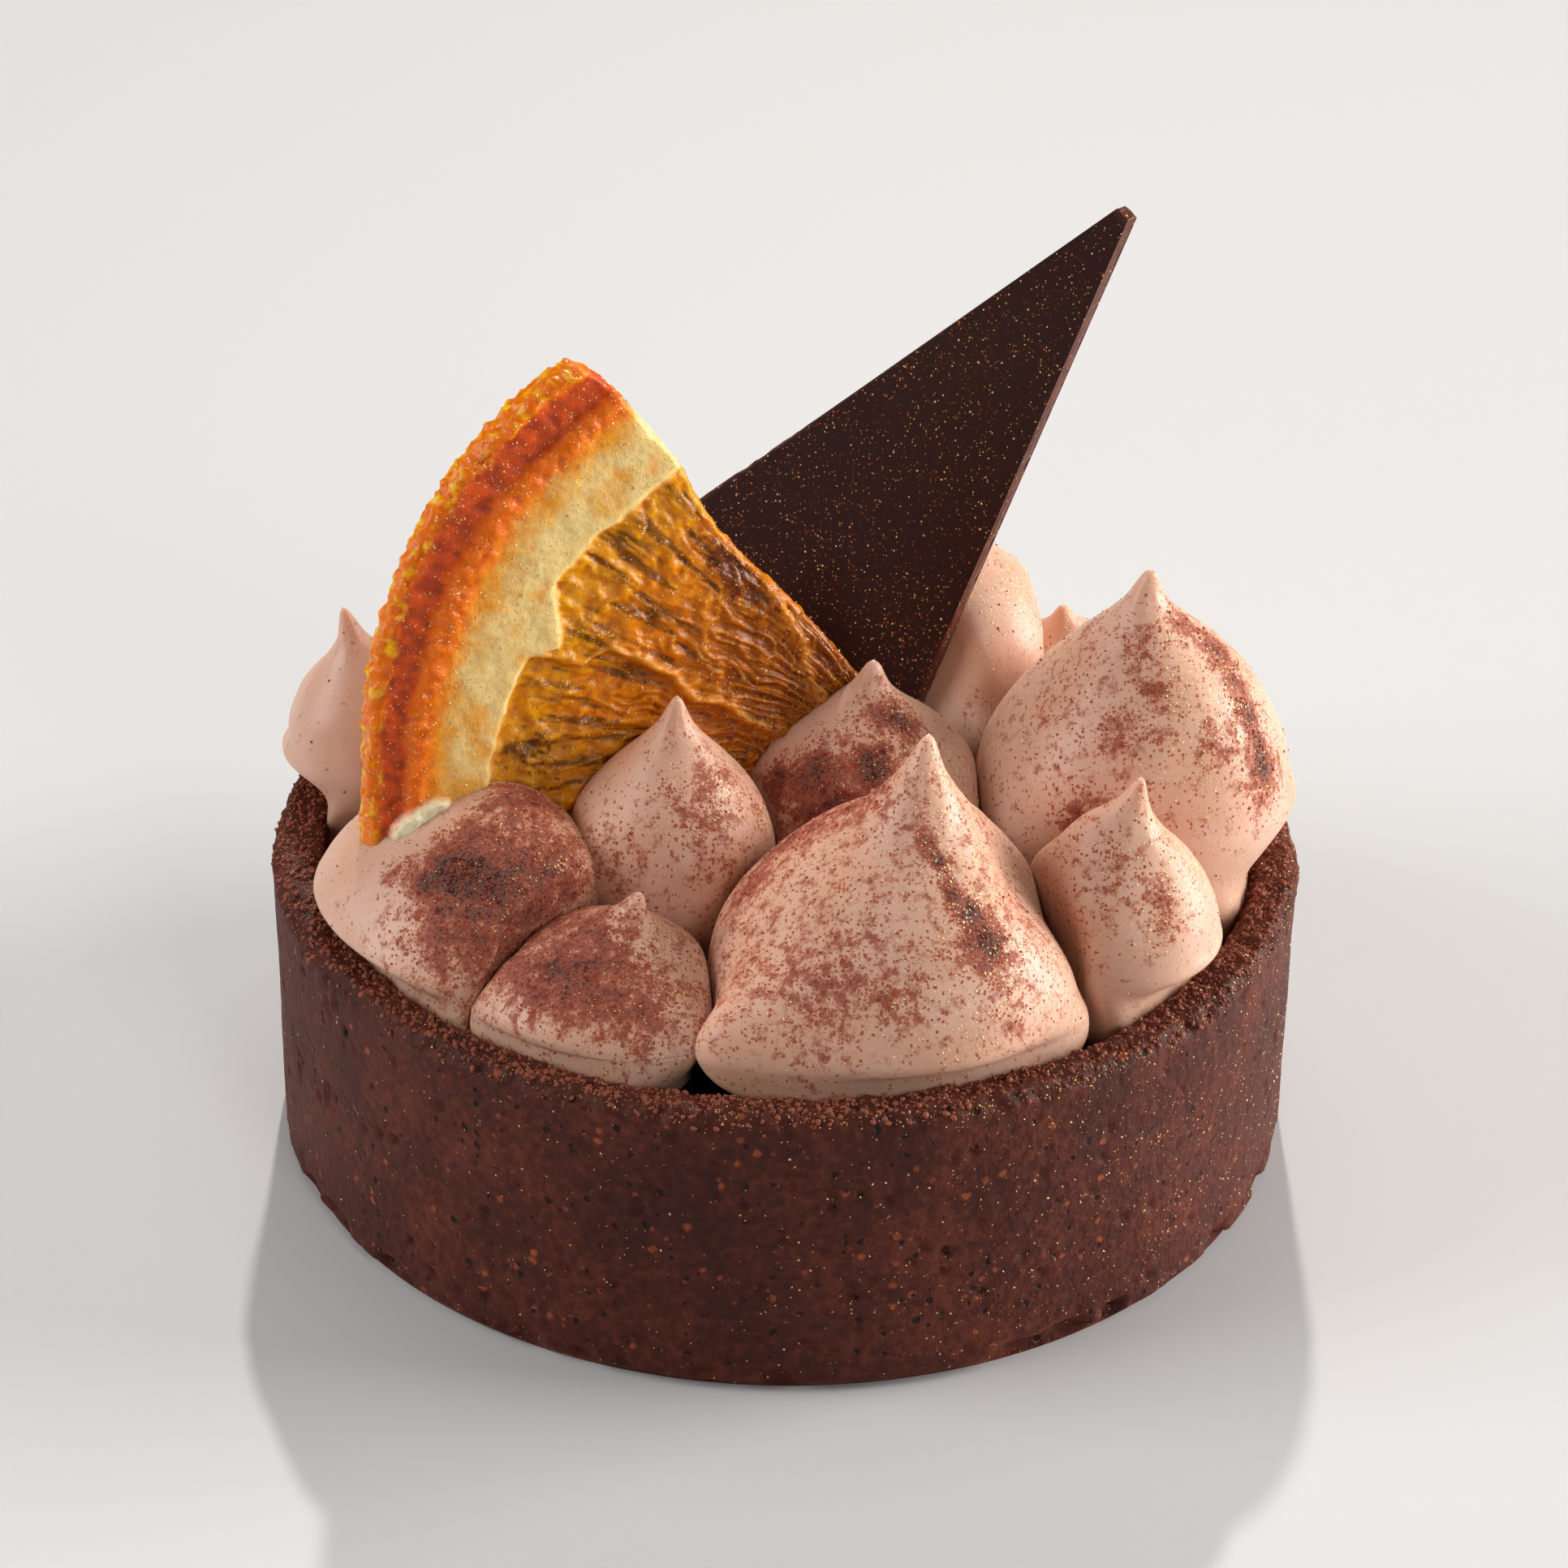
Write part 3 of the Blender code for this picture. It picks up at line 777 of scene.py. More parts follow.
COCOA_PATCHES = (
    # on the drop in front of the wedge: a dense streak, then thinner powder down to the rim
    Patch(-22.8, -17.5, 26.9, 1.0, 1.3), Patch(-20.8, -17.5, 27.6, 1.2, 2.0), Patch(-18.8, -18.4, 27.4, 1.0, 1.7),
    Patch(-21.6, -16.2, 27.8, 1.6, 0.9), Patch(-19.8, -14.4, 29.0, 2.0, 0.45), Patch(-17.0, -11.0, 29.7, 2.4, 1.0),
    Patch(-20.5, -20.3, 26.0, 4.4, 0.95), Patch(-16.0, -17.0, 27.5, 3.8, 0.95), Patch(-24.5, -15.8, 26.5, 1.2, 1.0),
    # the small drop at the front left
    Patch(-13.6, -24.1, 25.2, 2.6, 0.55), Patch(-11.0, -27.3, 24.2, 2.6, 0.50), Patch(-11.6, -21.8, 26.2, 1.8, 0.60),
    Patch(-8.5, -27.4, 23.8, 2.2, 0.55), Patch(-15.1, -25.6, 24.4, 2.6, 0.65), Patch(-10.4, -24.6, 25.4, 2.2, 0.45),
    # the drop before the flesh
    Patch(-4.8, -10.3, 30.9, 1.8, 0.45), Patch(-5.8, -12.7, 29.4, 1.6, 0.45), Patch(-7.7, -11.6, 30.9, 0.8, 0.5),
    Patch(-4.6, -13.0, 26.5, 1.6, 0.40), Patch(-10.5, -13.2, 27.0, 1.8, 0.30), Patch(-2.5, -9.5, 27.5, 1.5, 0.45),
    # the large drop: its left shoulder, right of the peak and thinly on the belly
    Patch(1.8, -15.6, 30.5, 2.4, 0.62), Patch(-2.0, -17.9, 27.6, 2.4, 0.55), Patch(5.8, -17.7, 34.2, 1.8, 0.5),
    Patch(4.6, -16.4, 32.4, 1.6, 0.5), Patch(-0.4, -15.4, 29.2, 1.4, 0.6), Patch(11.4, -25.2, 30.2, 0.8, 1.6),
    Patch(10.5, -24.4, 31.0, 0.6, 1.4), Patch(12.3, -25.6, 29.3, 0.6, 1.2), Patch(9.6, -22.8, 32.4, 0.6, 1.3),
    Patch(10.1, -23.6, 31.7, 0.5, 0.9), Patch(12.9, -26.6, 28.9, 0.9, 0.8), Patch(8.9, -21.9, 33.3, 0.7, 0.8),
    Patch(14.8, -22.0, 28.5, 4.0, 0.28), Patch(12.4, -26.6, 28.6, 1.8, 0.8), Patch(3.8, -28.4, 27.1, 3.0, 0.38),
    Patch(1.9, -29.6, 24.4, 2.4, 0.34), Patch(14.3, -28.5, 25.0, 2.4, 0.42), Patch(13.0, -17.1, 32.3, 1.4, 0.4),
    Patch(8.0, -29.5, 26.5, 2.2, 0.3), Patch(-2.0, -26.0, 26.0, 3.0, 0.22),
    # the large drop at the right
    Patch(30.4, -3.8, 32.9, 1.3, 1.3), Patch(31.4, -4.9, 31.2, 1.0, 0.8), Patch(29.5, -2.3, 34.5, 0.9, 0.8),
    Patch(31.6, -5.4, 30.0, 0.8, 0.9), Patch(28.5, -0.9, 36.0, 1.8, 1.1), Patch(31.8, -5.4, 28.8, 2.4, 0.8),
    Patch(28.3, -6.8, 32.0, 1.6, 0.5), Patch(26.2, -0.7, 38.3, 1.4, 0.75), Patch(24.1, -5.1, 35.3, 1.1, 0.6),
    Patch(23.1, -2.8, 37.0, 1.2, 0.6), Patch(20.5, 0.4, 36.3, 1.2, 0.5), Patch(22.0, -7.4, 33.0, 1.2, 0.35),
    Patch(22.0, -3.0, 32.0, 9.0, 0.34),
    # the small drop before it
    Patch(22.0, -14.0, 27.0, 7.0, 0.10),
    Patch(19.3, -9.1, 27.9, 1.5, 0.5), Patch(23.9, -18.9, 28.0, 1.2, 0.6), Patch(24.5, -20.0, 26.3, 1.3, 0.55),
    Patch(21.5, -17.7, 29.6, 1.1, 0.4), Patch(20.5, -19.5, 28.0, 1.6, 0.3),
    # the drop that the wedge's tip stands in
    Patch(-0.4, -5.6, 28.3, 1.7, 1.1), Patch(2.2, -6.3, 29.4, 1.2, 1.3), Patch(5.9, -6.6, 29.9, 1.2, 1.9),
    Patch(1.8, -8.2, 27.4, 1.8, 0.9), Patch(4.2, -5.6, 31.2, 2.2, 0.5), Patch(6.9, -3.2, 32.0, 1.8, 0.9), Patch(8.1, -3.8, 31.1, 1.3, 0.6),
    Patch(4.0, -8.5, 28.0, 1.6, 0.9),
    # the drop behind the triangle
    Patch(14.3, 13.3, 34.4, 1.5, 0.22), Patch(12.8, 6.0, 27.8, 1.4, 0.3), Patch(17.3, 11.9, 31.4, 1.5, 0.25),
)


@dataclass(frozen=True)
class Grab:
    """A pull on one drop about a place, in millimetres, that fades with distance."""

    drop: int
    x: float
    y: float
    z: float
    reach: float
    shift: tuple[float, float, float]


# the direction halfway between the camera and the side light, where that light's highlight falls: gold dust is laid
# thickest on slopes facing it, so it is real gold dust placed as a painted highlight
GOLD_AND_HIGHLIGHT_DIRECTION = np.array((0.60, -0.35, 0.72))

CREAM_GRABS = (
    # the small front drop's right side, drawn out to meet the large one
    Grab(4, -6.6, -28.6, 22.6, 3.0, (2.0, -1.2, 0.6)),
    # the large drop: foot drawn left, right shoulder drawn in, tip a little left
    Grab(5, -0.5, -29.0, 22.6, 3.8, (-4.4, -1.6, 0.6)),
    Grab(5, 17.6, -18.5, 29.0, 5.0, (-2.6, 0.2, -0.4)),
    Grab(5, 3.5, -20.5, 30.5, 2.2, (0.5, 0.4, -0.2)),
    Grab(5, 10.0, -19.6, 38.5, 2.6, (-0.5, 0.0, -0.3)),
    # the drop before the flesh, fuller on its left
    Grab(3, -13.5, -13.5, 26.0, 3.5, (-1.1, 0.0, 0.2)),
    # the tip of the large drop at the right
    Grab(7, 25.5, -1.0, 40.0, 6.0, (-1.1, 0.0, 0.0)),
    # the drop behind the triangle: a bulging foot below a crease
    Grab(9, 13.5, 4.5, 24.5, 3.0, (0.3, -1.8, 0.6)),
    # the small drop beside the large one, fuller on its left
    Grab(6, 17.5, -13.5, 27.5, 4.0, (-1.0, 0.0, -0.3)),
    Grab(6, 19.6, -14.5, 31.0, 2.6, (-0.8, 0.0, 0.7)),
)


@dataclass
class CreamDrops:
    """The piped drops: each is its solid, smoothed, drawn to a point and gently uneven."""

    swell: float = 0.12 * MM
    passes: int = 4
    wall: float = 3.35 * MM

    def build(self, nodes: dict[str, bpy.types.Object], material: bpy.types.Material) -> list[bpy.types.Object]:
        """Make a fine drop for each drop in the frame.

        Args:
            nodes: The frame's solids by name.
            material: The dusted cream.

        Returns:
            The pieces.
        """
        pieces = []
        for name in sorted(nodes):
            if name.startswith("cream_drop"):
                piece = self.smooth_copy(nodes[name], name.replace("cream_drop", "piped_cream"))
                self.shape(piece.data, int(name[-2:]))
                write_attribute(piece.data, "cocoa", self.cocoa_cover(piece.data))
                write_attribute(piece.data, "gold", self.gold_and_highlight_cover(piece.data))
                finish_piece(piece, material, "cream", name)
                pieces.append(piece)
        return pieces

    def smooth_copy(self, solid: bpy.types.Object, name: str) -> bpy.types.Object:
        """Copy a faceted solid, join its triangles to rings and round them by subdivision."""
        piece = bpy.data.objects.new(name, solid.data.copy())
        bpy.context.scene.collection.objects.link(piece)
        with editing(piece):
            bpy.ops.mesh.customdata_custom_splitnormals_clear()
            bpy.ops.mesh.remove_doubles(threshold=0.01 * MM)
            bpy.ops.mesh.tris_convert_to_quads(face_threshold=math.pi, shape_threshold=math.pi)
            bpy.ops.mesh.normals_make_consistent(inside=False)
        smooth = piece.modifiers.new("rounding", "SUBSURF")
        smooth.levels = 3
        smooth.render_levels = smooth.levels
        self.pass_through_corners(piece)
        bpy.ops.object.modifier_apply(modifier=smooth.name)
        return piece

    def pass_through_corners(self, piece: bpy.types.Object) -> None:
        """Move the control points out until the rounded surface runs through the solid's corners."""
        corners = read_points(piece.data)
        for _ in range(self.passes):
            bpy.context.view_layer.update()
            rounded = piece.evaluated_get(bpy.context.evaluated_depsgraph_get()).to_mesh()
            miss = corners - read_points(rounded)[: len(corners)]
            write_points(piece.data, read_points(piece.data) + miss)

    def shape(self, mesh: bpy.types.Mesh, number: int) -> None:
        """Draw the tip out, swell the drop against its neighbours and make it uneven."""
        points = read_points(mesh)
        normals = read_normals(mesh)
        top = points[points[:, 2].argmax()].copy()
        aside = np.hypot(points[:, 0] - top[0], points[:, 1] - top[1])
        near = np.exp(-aside / (0.45 * MM)) * soft_step(points[:, 2], top[2] - 4 * MM, top[2])
        uneven = 0.16 * MM * waves(points, 5 * MM, 4.0) + 0.035 * MM * waves(points, 1.6 * MM, 8.0)
        points += normals * (self.swell + uneven)[:, None]
        points[:, 2] += near * 0.05 * MM
        for grab in (grab for grab in CREAM_GRABS if grab.drop == number):
            away = points / MM - (grab.x, grab.y, grab.z)
            pull = np.exp(-(away**2).sum(axis=1) / grab.reach**2)
            points += pull[:, None] * np.array(grab.shift) * MM
        write_points(mesh, self.fill_case(points, normals))

    def fill_case(self, points: np.ndarray, normals: np.ndarray) -> np.ndarray:
        """Press the foot against the case's wall, so that no gap is left below the rim."""
        low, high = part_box("tart_case")
        inner = (high[0] - low[0]) / 2 - self.wall
        outward = np.hypot(points[:, 0], points[:, 1])
        radial = points[:, :2] / outward[:, None]
        facing = soft_step((normals[:, :2] * radial).sum(axis=1), -0.2, 0.3)
        below = soft_step(high[2] + 2.4 * MM - points[:, 2], 0.0, 3.4 * MM)
        close = soft_step(outward, inner - 5.5 * MM, inner - 0.3 * MM)
        push = (inner - outward) * below * close * facing
        points[:, :2] += radial * push[:, None]
        return points

    def cocoa_cover(self, mesh: bpy.types.Mesh) -> np.ndarray:
        """How thickly cocoa lies at each point: a light fall, most at the front, and the patches."""
        points = read_points(mesh)
        normals = read_normals(mesh)
        fall = np.exp(-((points[:, 0] / (20 * MM)) ** 2) - ((points[:, 1] / MM + 22.0) / 15.0) ** 2)
        cover = (0.09 + 0.34 * fall) * (0.5 + 0.5 * np.clip(normals[:, 2] + 0.4, 0.0, 1.0))
        for patch in COCOA_PATCHES:
            away = points / MM - (patch.x, patch.y, patch.z)
            cover += patch.cover * np.exp(-(away**2).sum(axis=1) / patch.spread**2)
        return cover

    def gold_and_highlight_cover(self, mesh: bpy.types.Mesh) -> np.ndarray:
        """How thickly gold dust lies at each point: in drifts, thickest on the slopes facing the side light's
        highlight, so partly real dust and partly a painted highlight.
        """
        facing = np.clip(read_normals(mesh) @ GOLD_AND_HIGHLIGHT_DIRECTION, 0.0, 1.0)
        drifts = 0.5 + 0.8 * waves(read_points(mesh), 2.5 * MM, 13.0, 3)
        return 0.04 + 0.50 * facing**6 * np.clip(drifts, 0.0, 1.2)


# ---------------------------------------------------------------- the plates that stand in the cream


def plate_axes(solid: bpy.types.Object) -> tuple[Vector, Vector, Vector]:
    """Find how a flat plate stands.

    Args:
        solid: The plate's CAD object.

    Returns:
        Its sideways, upward and forward directions.
    """
    largest = max(solid.data.polygons, key=lambda face: face.area)
    front = largest.normal.copy()
    if front.y > 0:
        front.negate()
    side = Vector((-front.y, front.x, 0.0)).normalized()
    return side, front.cross(side), front


@dataclass
class OrangeWedge:
    """A sixth of a dried orange wheel: bumpy zest, a red groove, pith, membrane and sunken flesh.

    It is modelled in its own plane, in polar terms about the middle of the wheel, in millimetres and
    degrees, and then stood up where its solid is.
    """

    node: str = "orange_wedge"
    radius: float = 37.2
    thickness: float = 3.4
    start: float = 124.5
    sweep: float = 61.5
    tip: tuple[float, float] = (1.2, 0.9)
    across: int = 196
    along: int = 215
    layers: int = 11
    pith_line: tuple = (
        (122, 27.2), (130, 27.6), (134, 27.9), (137, 28.4), (141, 28.6), (145, 28.9), (147, 28.5),
        (149, 27.6), (151, 26.9), (153, 26.6), (154.5, 27.6), (155.6, 28.4), (160, 28.7), (166, 29.0),
        (170, 29.3), (187, 29.4),
    )
    membrane_line: tuple = (
        (4, 172), (6, 166), (8, 161), (9.5, 158.4), (11.3, 157.4), (12.5, 155.4), (13.5, 153.6), (15, 154),
        (16.2, 154.3), (17.2, 153.2), (18.2, 151.3), (19.5, 150.7), (21.5, 150.4), (23.2, 150.4),
        (23.9, 152), (24.6, 154.2), (25.6, 154.6), (38, 155.5),
    )
    cut_line: tuple = (
        (0, 0.0), (13, 0.0), (16, -0.1), (19, -0.45), (22, -0.5), (24.5, -0.2), (27, 0.45), (31, 0.5),
        (34, 0.5), (35.4, 0.35), (36.4, 0.1), (37.2, -0.5),
    )

    def build(self, solid: bpy.types.Object, material: bpy.types.Material) -> bpy.types.Object:
        """Model the wedge, stand it up where its solid is and dress it.

        Args:
            solid: The wedge's CAD object.
            material: The dried orange.

        Returns:
            The piece.
        """
        piece = self.slab()
        self.shape(piece.data)
        self.place(piece.data, solid)
        finish_piece(piece, material, "dried_orange", self.node)
        return piece

    def slab(self) -> bpy.types.Object:
        """A grid drawn out to a slab, whose points hold their own share across, along and deep."""
        bpy.ops.mesh.primitive_grid_add(
            x_subdivisions=count(self.across), y_subdivisions=count(self.along), size=1.0, location=(0.5, 0.5, 0)
        )
        piece = bpy.context.object
        piece.name = "dried_orange_wedge"
        select_only(piece)
        bpy.ops.object.transform_apply(location=True, rotation=True, scale=True)
        with editing(piece):
            for _ in range(self.layers):
                bpy.ops.mesh.extrude_region_move(TRANSFORM_OT_translate={"value": (0, 0, 1 / self.layers)})
        return piece

    def shape(self, mesh: bpy.types.Mesh) -> None:
        """Bend the slab to a wedge, raise its relief and colour it.

        Args:
            mesh: The slab's mesh, in shares.
        """
        grid = read_points(mesh)
        side = 1 - 2 * grid[:, 2]
        angle = np.radians(self.start + self.sweep * grid[:, 1])
        rind = np.stack([np.cos(angle), np.sin(angle)], axis=1) * self.radius
        tip = np.array(self.tip)
        flat = tip + (rind - tip) * grid[:, 0:1]
        reach = np.hypot(flat[:, 0], flat[:, 1])
        turn = np.degrees(np.arctan2(flat[:, 1], flat[:, 0]))
        zones = self.zones(flat, reach, turn)
        height = self.relief(flat, reach, turn, zones)
        points = self.edges(flat, reach, turn, grid, side)
        mesh_points = np.column_stack([points, side * height]) * MM
        write_points(mesh, mesh_points)
        self.colour(mesh, flat, reach, turn, zones, side)

    def zones(self, flat: np.ndarray, reach: np.ndarray, turn: np.ndarray) -> dict[str, np.ndarray]:
        """How much each point belongs to the groove, the ridge, the flesh and the other zones.

        Args:
            flat: The points in the plane.
            reach: Their distance from the middle of the wheel.
            turn: Their direction, in degrees.

        Returns:
            A share from 0 to 1 for each zone, and where the flesh's pattern lies.
        """
        plane = np.column_stack([flat, np.zeros(len(flat))])
        ragged = waves(plane, 1.7, 5.0, 3)
        pith_end = np.interp(turn, *zip(*self.pith_line)) + 0.22 * ragged
        flesh = soft_step(pith_end - reach, -0.25, 0.50)
        line = np.interp(reach, *zip(*self.membrane_line))
        off_line = np.radians(turn - line) * reach + 0.22 * waves(plane, 1.5, 15.0, 2)
        width = 0.32 + 0.5 * soft_step(16.0 - reach, 0.0, 10.0)
        membrane = bell(off_line, 0.0, width) * flesh
        second = np.radians(turn - np.interp(reach, (4, 6, 12, 17, 20), (150, 141, 125.5, 122.5, 122))) * reach
        membrane = np.maximum(membrane, 0.8 * bell(second, 0.0, 0.45) * flesh * soft_step(18 - reach, 0.0, 3.0))
        lower = soft_step(off_line, 0.1, 0.8) * flesh
        middle = np.interp(turn, (125, 134, 140, 170, 186), (35.3, 35.7, 36.3, 36.1, 36.0)) + 0.28 * ragged
        groove = soft_step(1.45 - np.abs(reach - middle), 0.0, 0.75)
        ridge = bell(reach, middle - 1.75, 0.85) * soft_step(181.5 - turn, 0.0, 3.0)
        skin = soft_step(reach + 0.25 * ragged, self.radius - 0.9, self.radius - 0.1)
        lump_x, lump_y = flat[:, 0] + 34.0, flat[:, 1] - 1.7
        along, cross = 0.75 * lump_x + 0.66 * lump_y, 0.75 * lump_y - 0.66 * lump_x
        lump = soft_step(1.0 - np.hypot(along / 2.4, (cross + 0.2 * along) / 1.25) + 0.12 * ragged, 0.0, 0.2)
        below = soft_step(turn, 178.5, 181.0) * (1 - lump)
        return {
            "flesh": flesh, "membrane": membrane, "lower": lower, "groove": groove * (1 - lump),
            "ridge": ridge, "skin": skin, "lump": lump, "below": below, "depth": pith_end - reach,
        }

    def relief(
        self, flat: np.ndarray, reach: np.ndarray, turn: np.ndarray, zones: dict[str, np.ndarray]
    ) -> np.ndarray:
        """Half the wedge's thickness at each point.

        Args:
            flat: The points in the plane.
            reach: Their distance from the middle of the wheel.
            turn: Their direction, in degrees.
            zones: The share of each zone; what the relief finds out is added to it.

        Returns:
            The height of the front face above the middle.
        """
        plane = np.column_stack([flat, np.zeros(len(flat))])
        warp = 1.0 * waves(plane, 3.2, 41.0, 2)
        streaks = np.column_stack([reach / 3.4 + warp, np.radians(turn) * 19.0 + 0.9 * warp, plane[:, 2]])
        folds = 1 - 2.2 * np.abs([noise.noise(row) for row in streaks.tolist()])
        fine = 1 - 2.2 * np.abs([noise.noise(row) for row in (streaks * (2.6, 2.3, 1.0) + 9.0).tolist()])
        folds = np.clip(folds, 0.0, 1.0) ** 1.6
        fine = np.clip(fine, 0.0, 1.0) ** 1.5
        zones["folds"] = folds
        zones["fine"] = fine
        flesh = zones["flesh"]
        smooth_band = bell(zones["lower"], 0.5, 0.4)
        wrinkled = flesh * (1 - 0.7 * smooth_band)
        height = np.full(len(flat), self.thickness / 2)
        height -= flesh * (0.80 + 0.35 * soft_step(20 - reach, 0.0, 10.0))
        height += wrinkled * (0.30 * folds + 0.14 * fine + 0.34 * waves(plane, 1.3, 3.0, 2))
        height -= zones["lower"] * 0.40
        height += zones["membrane"] * (0.55 - 0.3 * folds)
        height -= zones["groove"] * (0.50 + 0.12 * waves(plane * (1, 1, 1), 0.9, 60.0, 2))
        height += zones["ridge"] * (0.18 + 0.32 * waves(plane, 0.8, 17.0, 2))
        height += 0.22 * soft_step(reach, self.radius - 1.1, self.radius - 0.6) * waves(plane, 0.7, 27.0, 2)
        pith = (1 - flesh) * (1 - zones["groove"])
        height += pith * (0.14 * waves(plane, 2.6, 12.0, 2) + 0.06 * waves(plane, 0.75, 51.0, 2))
        height += zones["lump"] * (0.65 + 0.15 * waves(plane, 0.9, 71.0, 2))
        height -= 0.35 * soft_step(reach, self.radius - 0.5, self.radius)
        return height

    def edges(
        self, flat: np.ndarray, reach: np.ndarray, turn: np.ndarray, grid: np.ndarray, side: np.ndarray
    ) -> np.ndarray:
        """Round the rind, roughen the outline and chip the upper corner.

        Args:
            flat: The points in the plane.
            reach: Their distance from the middle of the wheel.
            turn: Their direction, in degrees.
            grid: Each point's share across, along and deep.
            side: 1 on the front, -1 on the back.

        Returns:
            The moved points in the plane.
        """
        solid = np.column_stack([flat, side * self.thickness / 2])
        bulge = np.sqrt(np.clip(1 - side**2, 0.0, 1.0))
        bumps = waves(solid, 0.75, 30.0, 2)
        slow = waves(solid, 5.0, 44.0)
        outer = soft_step(grid[:, 0], 0.965, 1.0)
        outward = flat / np.maximum(reach, 0.1)[:, None]
        swell = np.interp(turn, (124, 130, 140, 150, 160, 172, 186), (0, 0.5, 1.1, 1.1, 0.7, 0.1, 0))
        swell *= soft_step(reach, 34.8, 36.8)
        push = swell + outer * (0.45 * bulge - 0.25 + 0.36 * bumps + 0.25 * slow)
        flat = flat + outward * push[:, None]
        first = soft_step(0.05 - grid[:, 1], 0.0, 0.05)
        last = soft_step(grid[:, 1] - 0.97, 0.0, 0.03)
        inner = soft_step(reach, 4.0, 9.0)
        line = np.interp(reach, *zip(*self.cut_line))
        normal = np.array([math.sin(math.radians(self.start)), -math.cos(math.radians(self.start))])
        edge_bump = 0.16 * bumps * soft_step(0.012 - grid[:, 1], 0.0, 0.012)
        flat = flat + normal * (first * inner * (line + 0.3 * bulge - 0.1 + edge_bump))[:, None]
        end = math.radians(self.start + self.sweep)
        normal = np.array([-math.sin(end), math.cos(end)])
        return flat + normal * (last * inner * (0.3 * bulge - 0.1 + 0.2 * bumps))[:, None]

    def colour(
        self,
        mesh: bpy.types.Mesh,
        flat: np.ndarray,
        reach: np.ndarray,
        turn: np.ndarray,
        zones: dict[str, np.ndarray],
        side: np.ndarray,
    ) -> None:
        """Keep the colour and the gloss of each point in the mesh.

        Args:
            mesh: The wedge's mesh.
            flat: The points in the plane.
            reach: Their distance from the middle of the wheel.
            turn: Their direction, in degrees.
            zones: The share of each zone.
            side: 1 on the front, -1 on the back.
        """
        solid = np.column_stack([flat, side * self.thickness / 2])
        cloud = 0.5 + 0.5 * waves(solid, 3.0, 81.0, 3)
        spots = 0.5 + 0.5 * waves(solid, 0.8, 91.0, 3)
        depth = zones["depth"]
        stained = soft_step(reach + 3.0 * (cloud - 0.5) + 1.6 * (spots - 0.5), 30.4, 33.6)
        stained = np.maximum(stained, 0.8 * soft_step(cloud + 0.35 * soft_step(turn, 150, 172), 0.60, 0.95))
        colour = blend("#ffdf98", "#ffae24", stained)
        colour = over(colour, "#f4870e", soft_step(reach + 1.6 * (spots - 0.5), 32.2, 34.2) * 0.9)
        colour = over(colour, "#f07408", np.clip(zones["ridge"] * 1.1 * (0.55 + 0.7 * spots), 0, 1))
        colour = over(colour, "#e65a10", zones["groove"])
        colour = over(colour, "#a4340c", zones["groove"] * soft_step(spots + zones["groove"], 1.25, 1.75) * 0.7)
        colour = over(colour, "#ef7a0a", zones["skin"])
        colour = over(colour, "#ffc010", zones["skin"] * soft_step(spots, 0.58, 0.74))
        streaks = 0.5 + 0.5 * waves(np.column_stack([turn / 1.7, reach / 6.0, side]), 1.0, 61.0, 3)
        flesh = blend("#ffbc04", "#ff9a00", soft_step(depth, 0.8, 7.0))
        # painted light: the lower flesh, turned 161 to 170 degrees, is lightened to stand in for the glints on it
        flesh = over(flesh, "#ffd040", 0.5 * soft_step(turn, 161, 170))
        flesh = over(flesh, "#8c3e06", soft_step(25.0 - reach, 0.0, 15.0) * 0.9)
        # painted light and shade on the flesh's relief: paler on the fold ridges and darker olive in the valleys
        # between them, laid over the flesh's real olive streaks
        flesh = over(flesh, "#ffae10", zones["folds"] * 0.35 * (0.5 + zones["fine"]))
        valley_shade = (1 - zones["folds"]) * soft_step(0.75 - zones["fine"], 0.0, 0.7)
        olive_and_valley_shade = (0.4 + valley_shade) * soft_step(streaks, 0.50, 0.72) * bell(reach, 23.5, 6.0) * soft_step(depth, 0.2, 1.0)
        flesh = over(flesh, "#4c3604", np.clip(olive_and_valley_shade * 2.0, 0, 0.92))
        flesh = over(flesh, "#c86404", 0.4 * soft_step(spots, 0.5, 0.75))
        flesh = over(flesh, "#cf6a06", bell(zones["lower"], 0.5, 0.45) * 0.85)
        flesh = over(flesh, "#f0a02c", zones["membrane"] * 0.75)
        for index in range(3):
            colour[:, index] += (flesh[:, index] - colour[:, index]) * zones["flesh"]
        colour = over(colour, "#fff0cc", zones["lump"])
        colour = over(colour, "#d96408", zones["below"] * (1 - zones["skin"]) * 0.6)
        attribute = mesh.color_attributes.new("tint", "FLOAT_COLOR", "POINT")
        attribute.data.foreach_set("color", np.column_stack([colour, np.ones(len(colour))]).ravel())
        gloss = 0.6 + 0.4 * zones["flesh"] - 0.35 * zones["membrane"] * zones["flesh"] - 0.3 * zones["lump"]
        gloss = np.maximum(gloss, 0.95 * np.maximum(zones["ridge"], zones["skin"]))
        write_attribute(mesh, "gloss", np.clip(gloss, 0.0, 1.0))
        cocoa = 0.12 + 0.5 * soft_step(22 - reach, 0.0, 14.0)
        cocoa += 1.4 * bell(turn, 126.5, 3.5) * bell(reach, 19.0, 3.0) + 0.5 * bell(turn, 170, 5) * bell(reach, 26, 2)
        write_attribute(mesh, "cocoa", cocoa * (side > -0.5))

    def place(self, mesh: bpy.types.Mesh, solid: bpy.types.Object) -> None:
        """Stand the wedge in the plane of its solid, with its top and its rind where the solid's are."""
        side, up, front = plate_axes(solid)
        turn = Matrix((side, up, front)).transposed()
        points = read_points(mesh)
        body = read_points(solid.data)
        axes = np.array([side, up, front])
        spread = body @ axes.T
        corner = math.radians(self.start)
        left = spread[:, 0].min() + self.radius * MM
        top = spread[:, 1].max() - self.radius * MM * math.sin(corner)
        middle = (spread[:, 2].max() + spread[:, 2].min()) / 2
        write_points(mesh, points @ np.array(turn).T + np.array([left, top, middle]) @ axes)
        mesh.flip_normals()
        mesh.update()


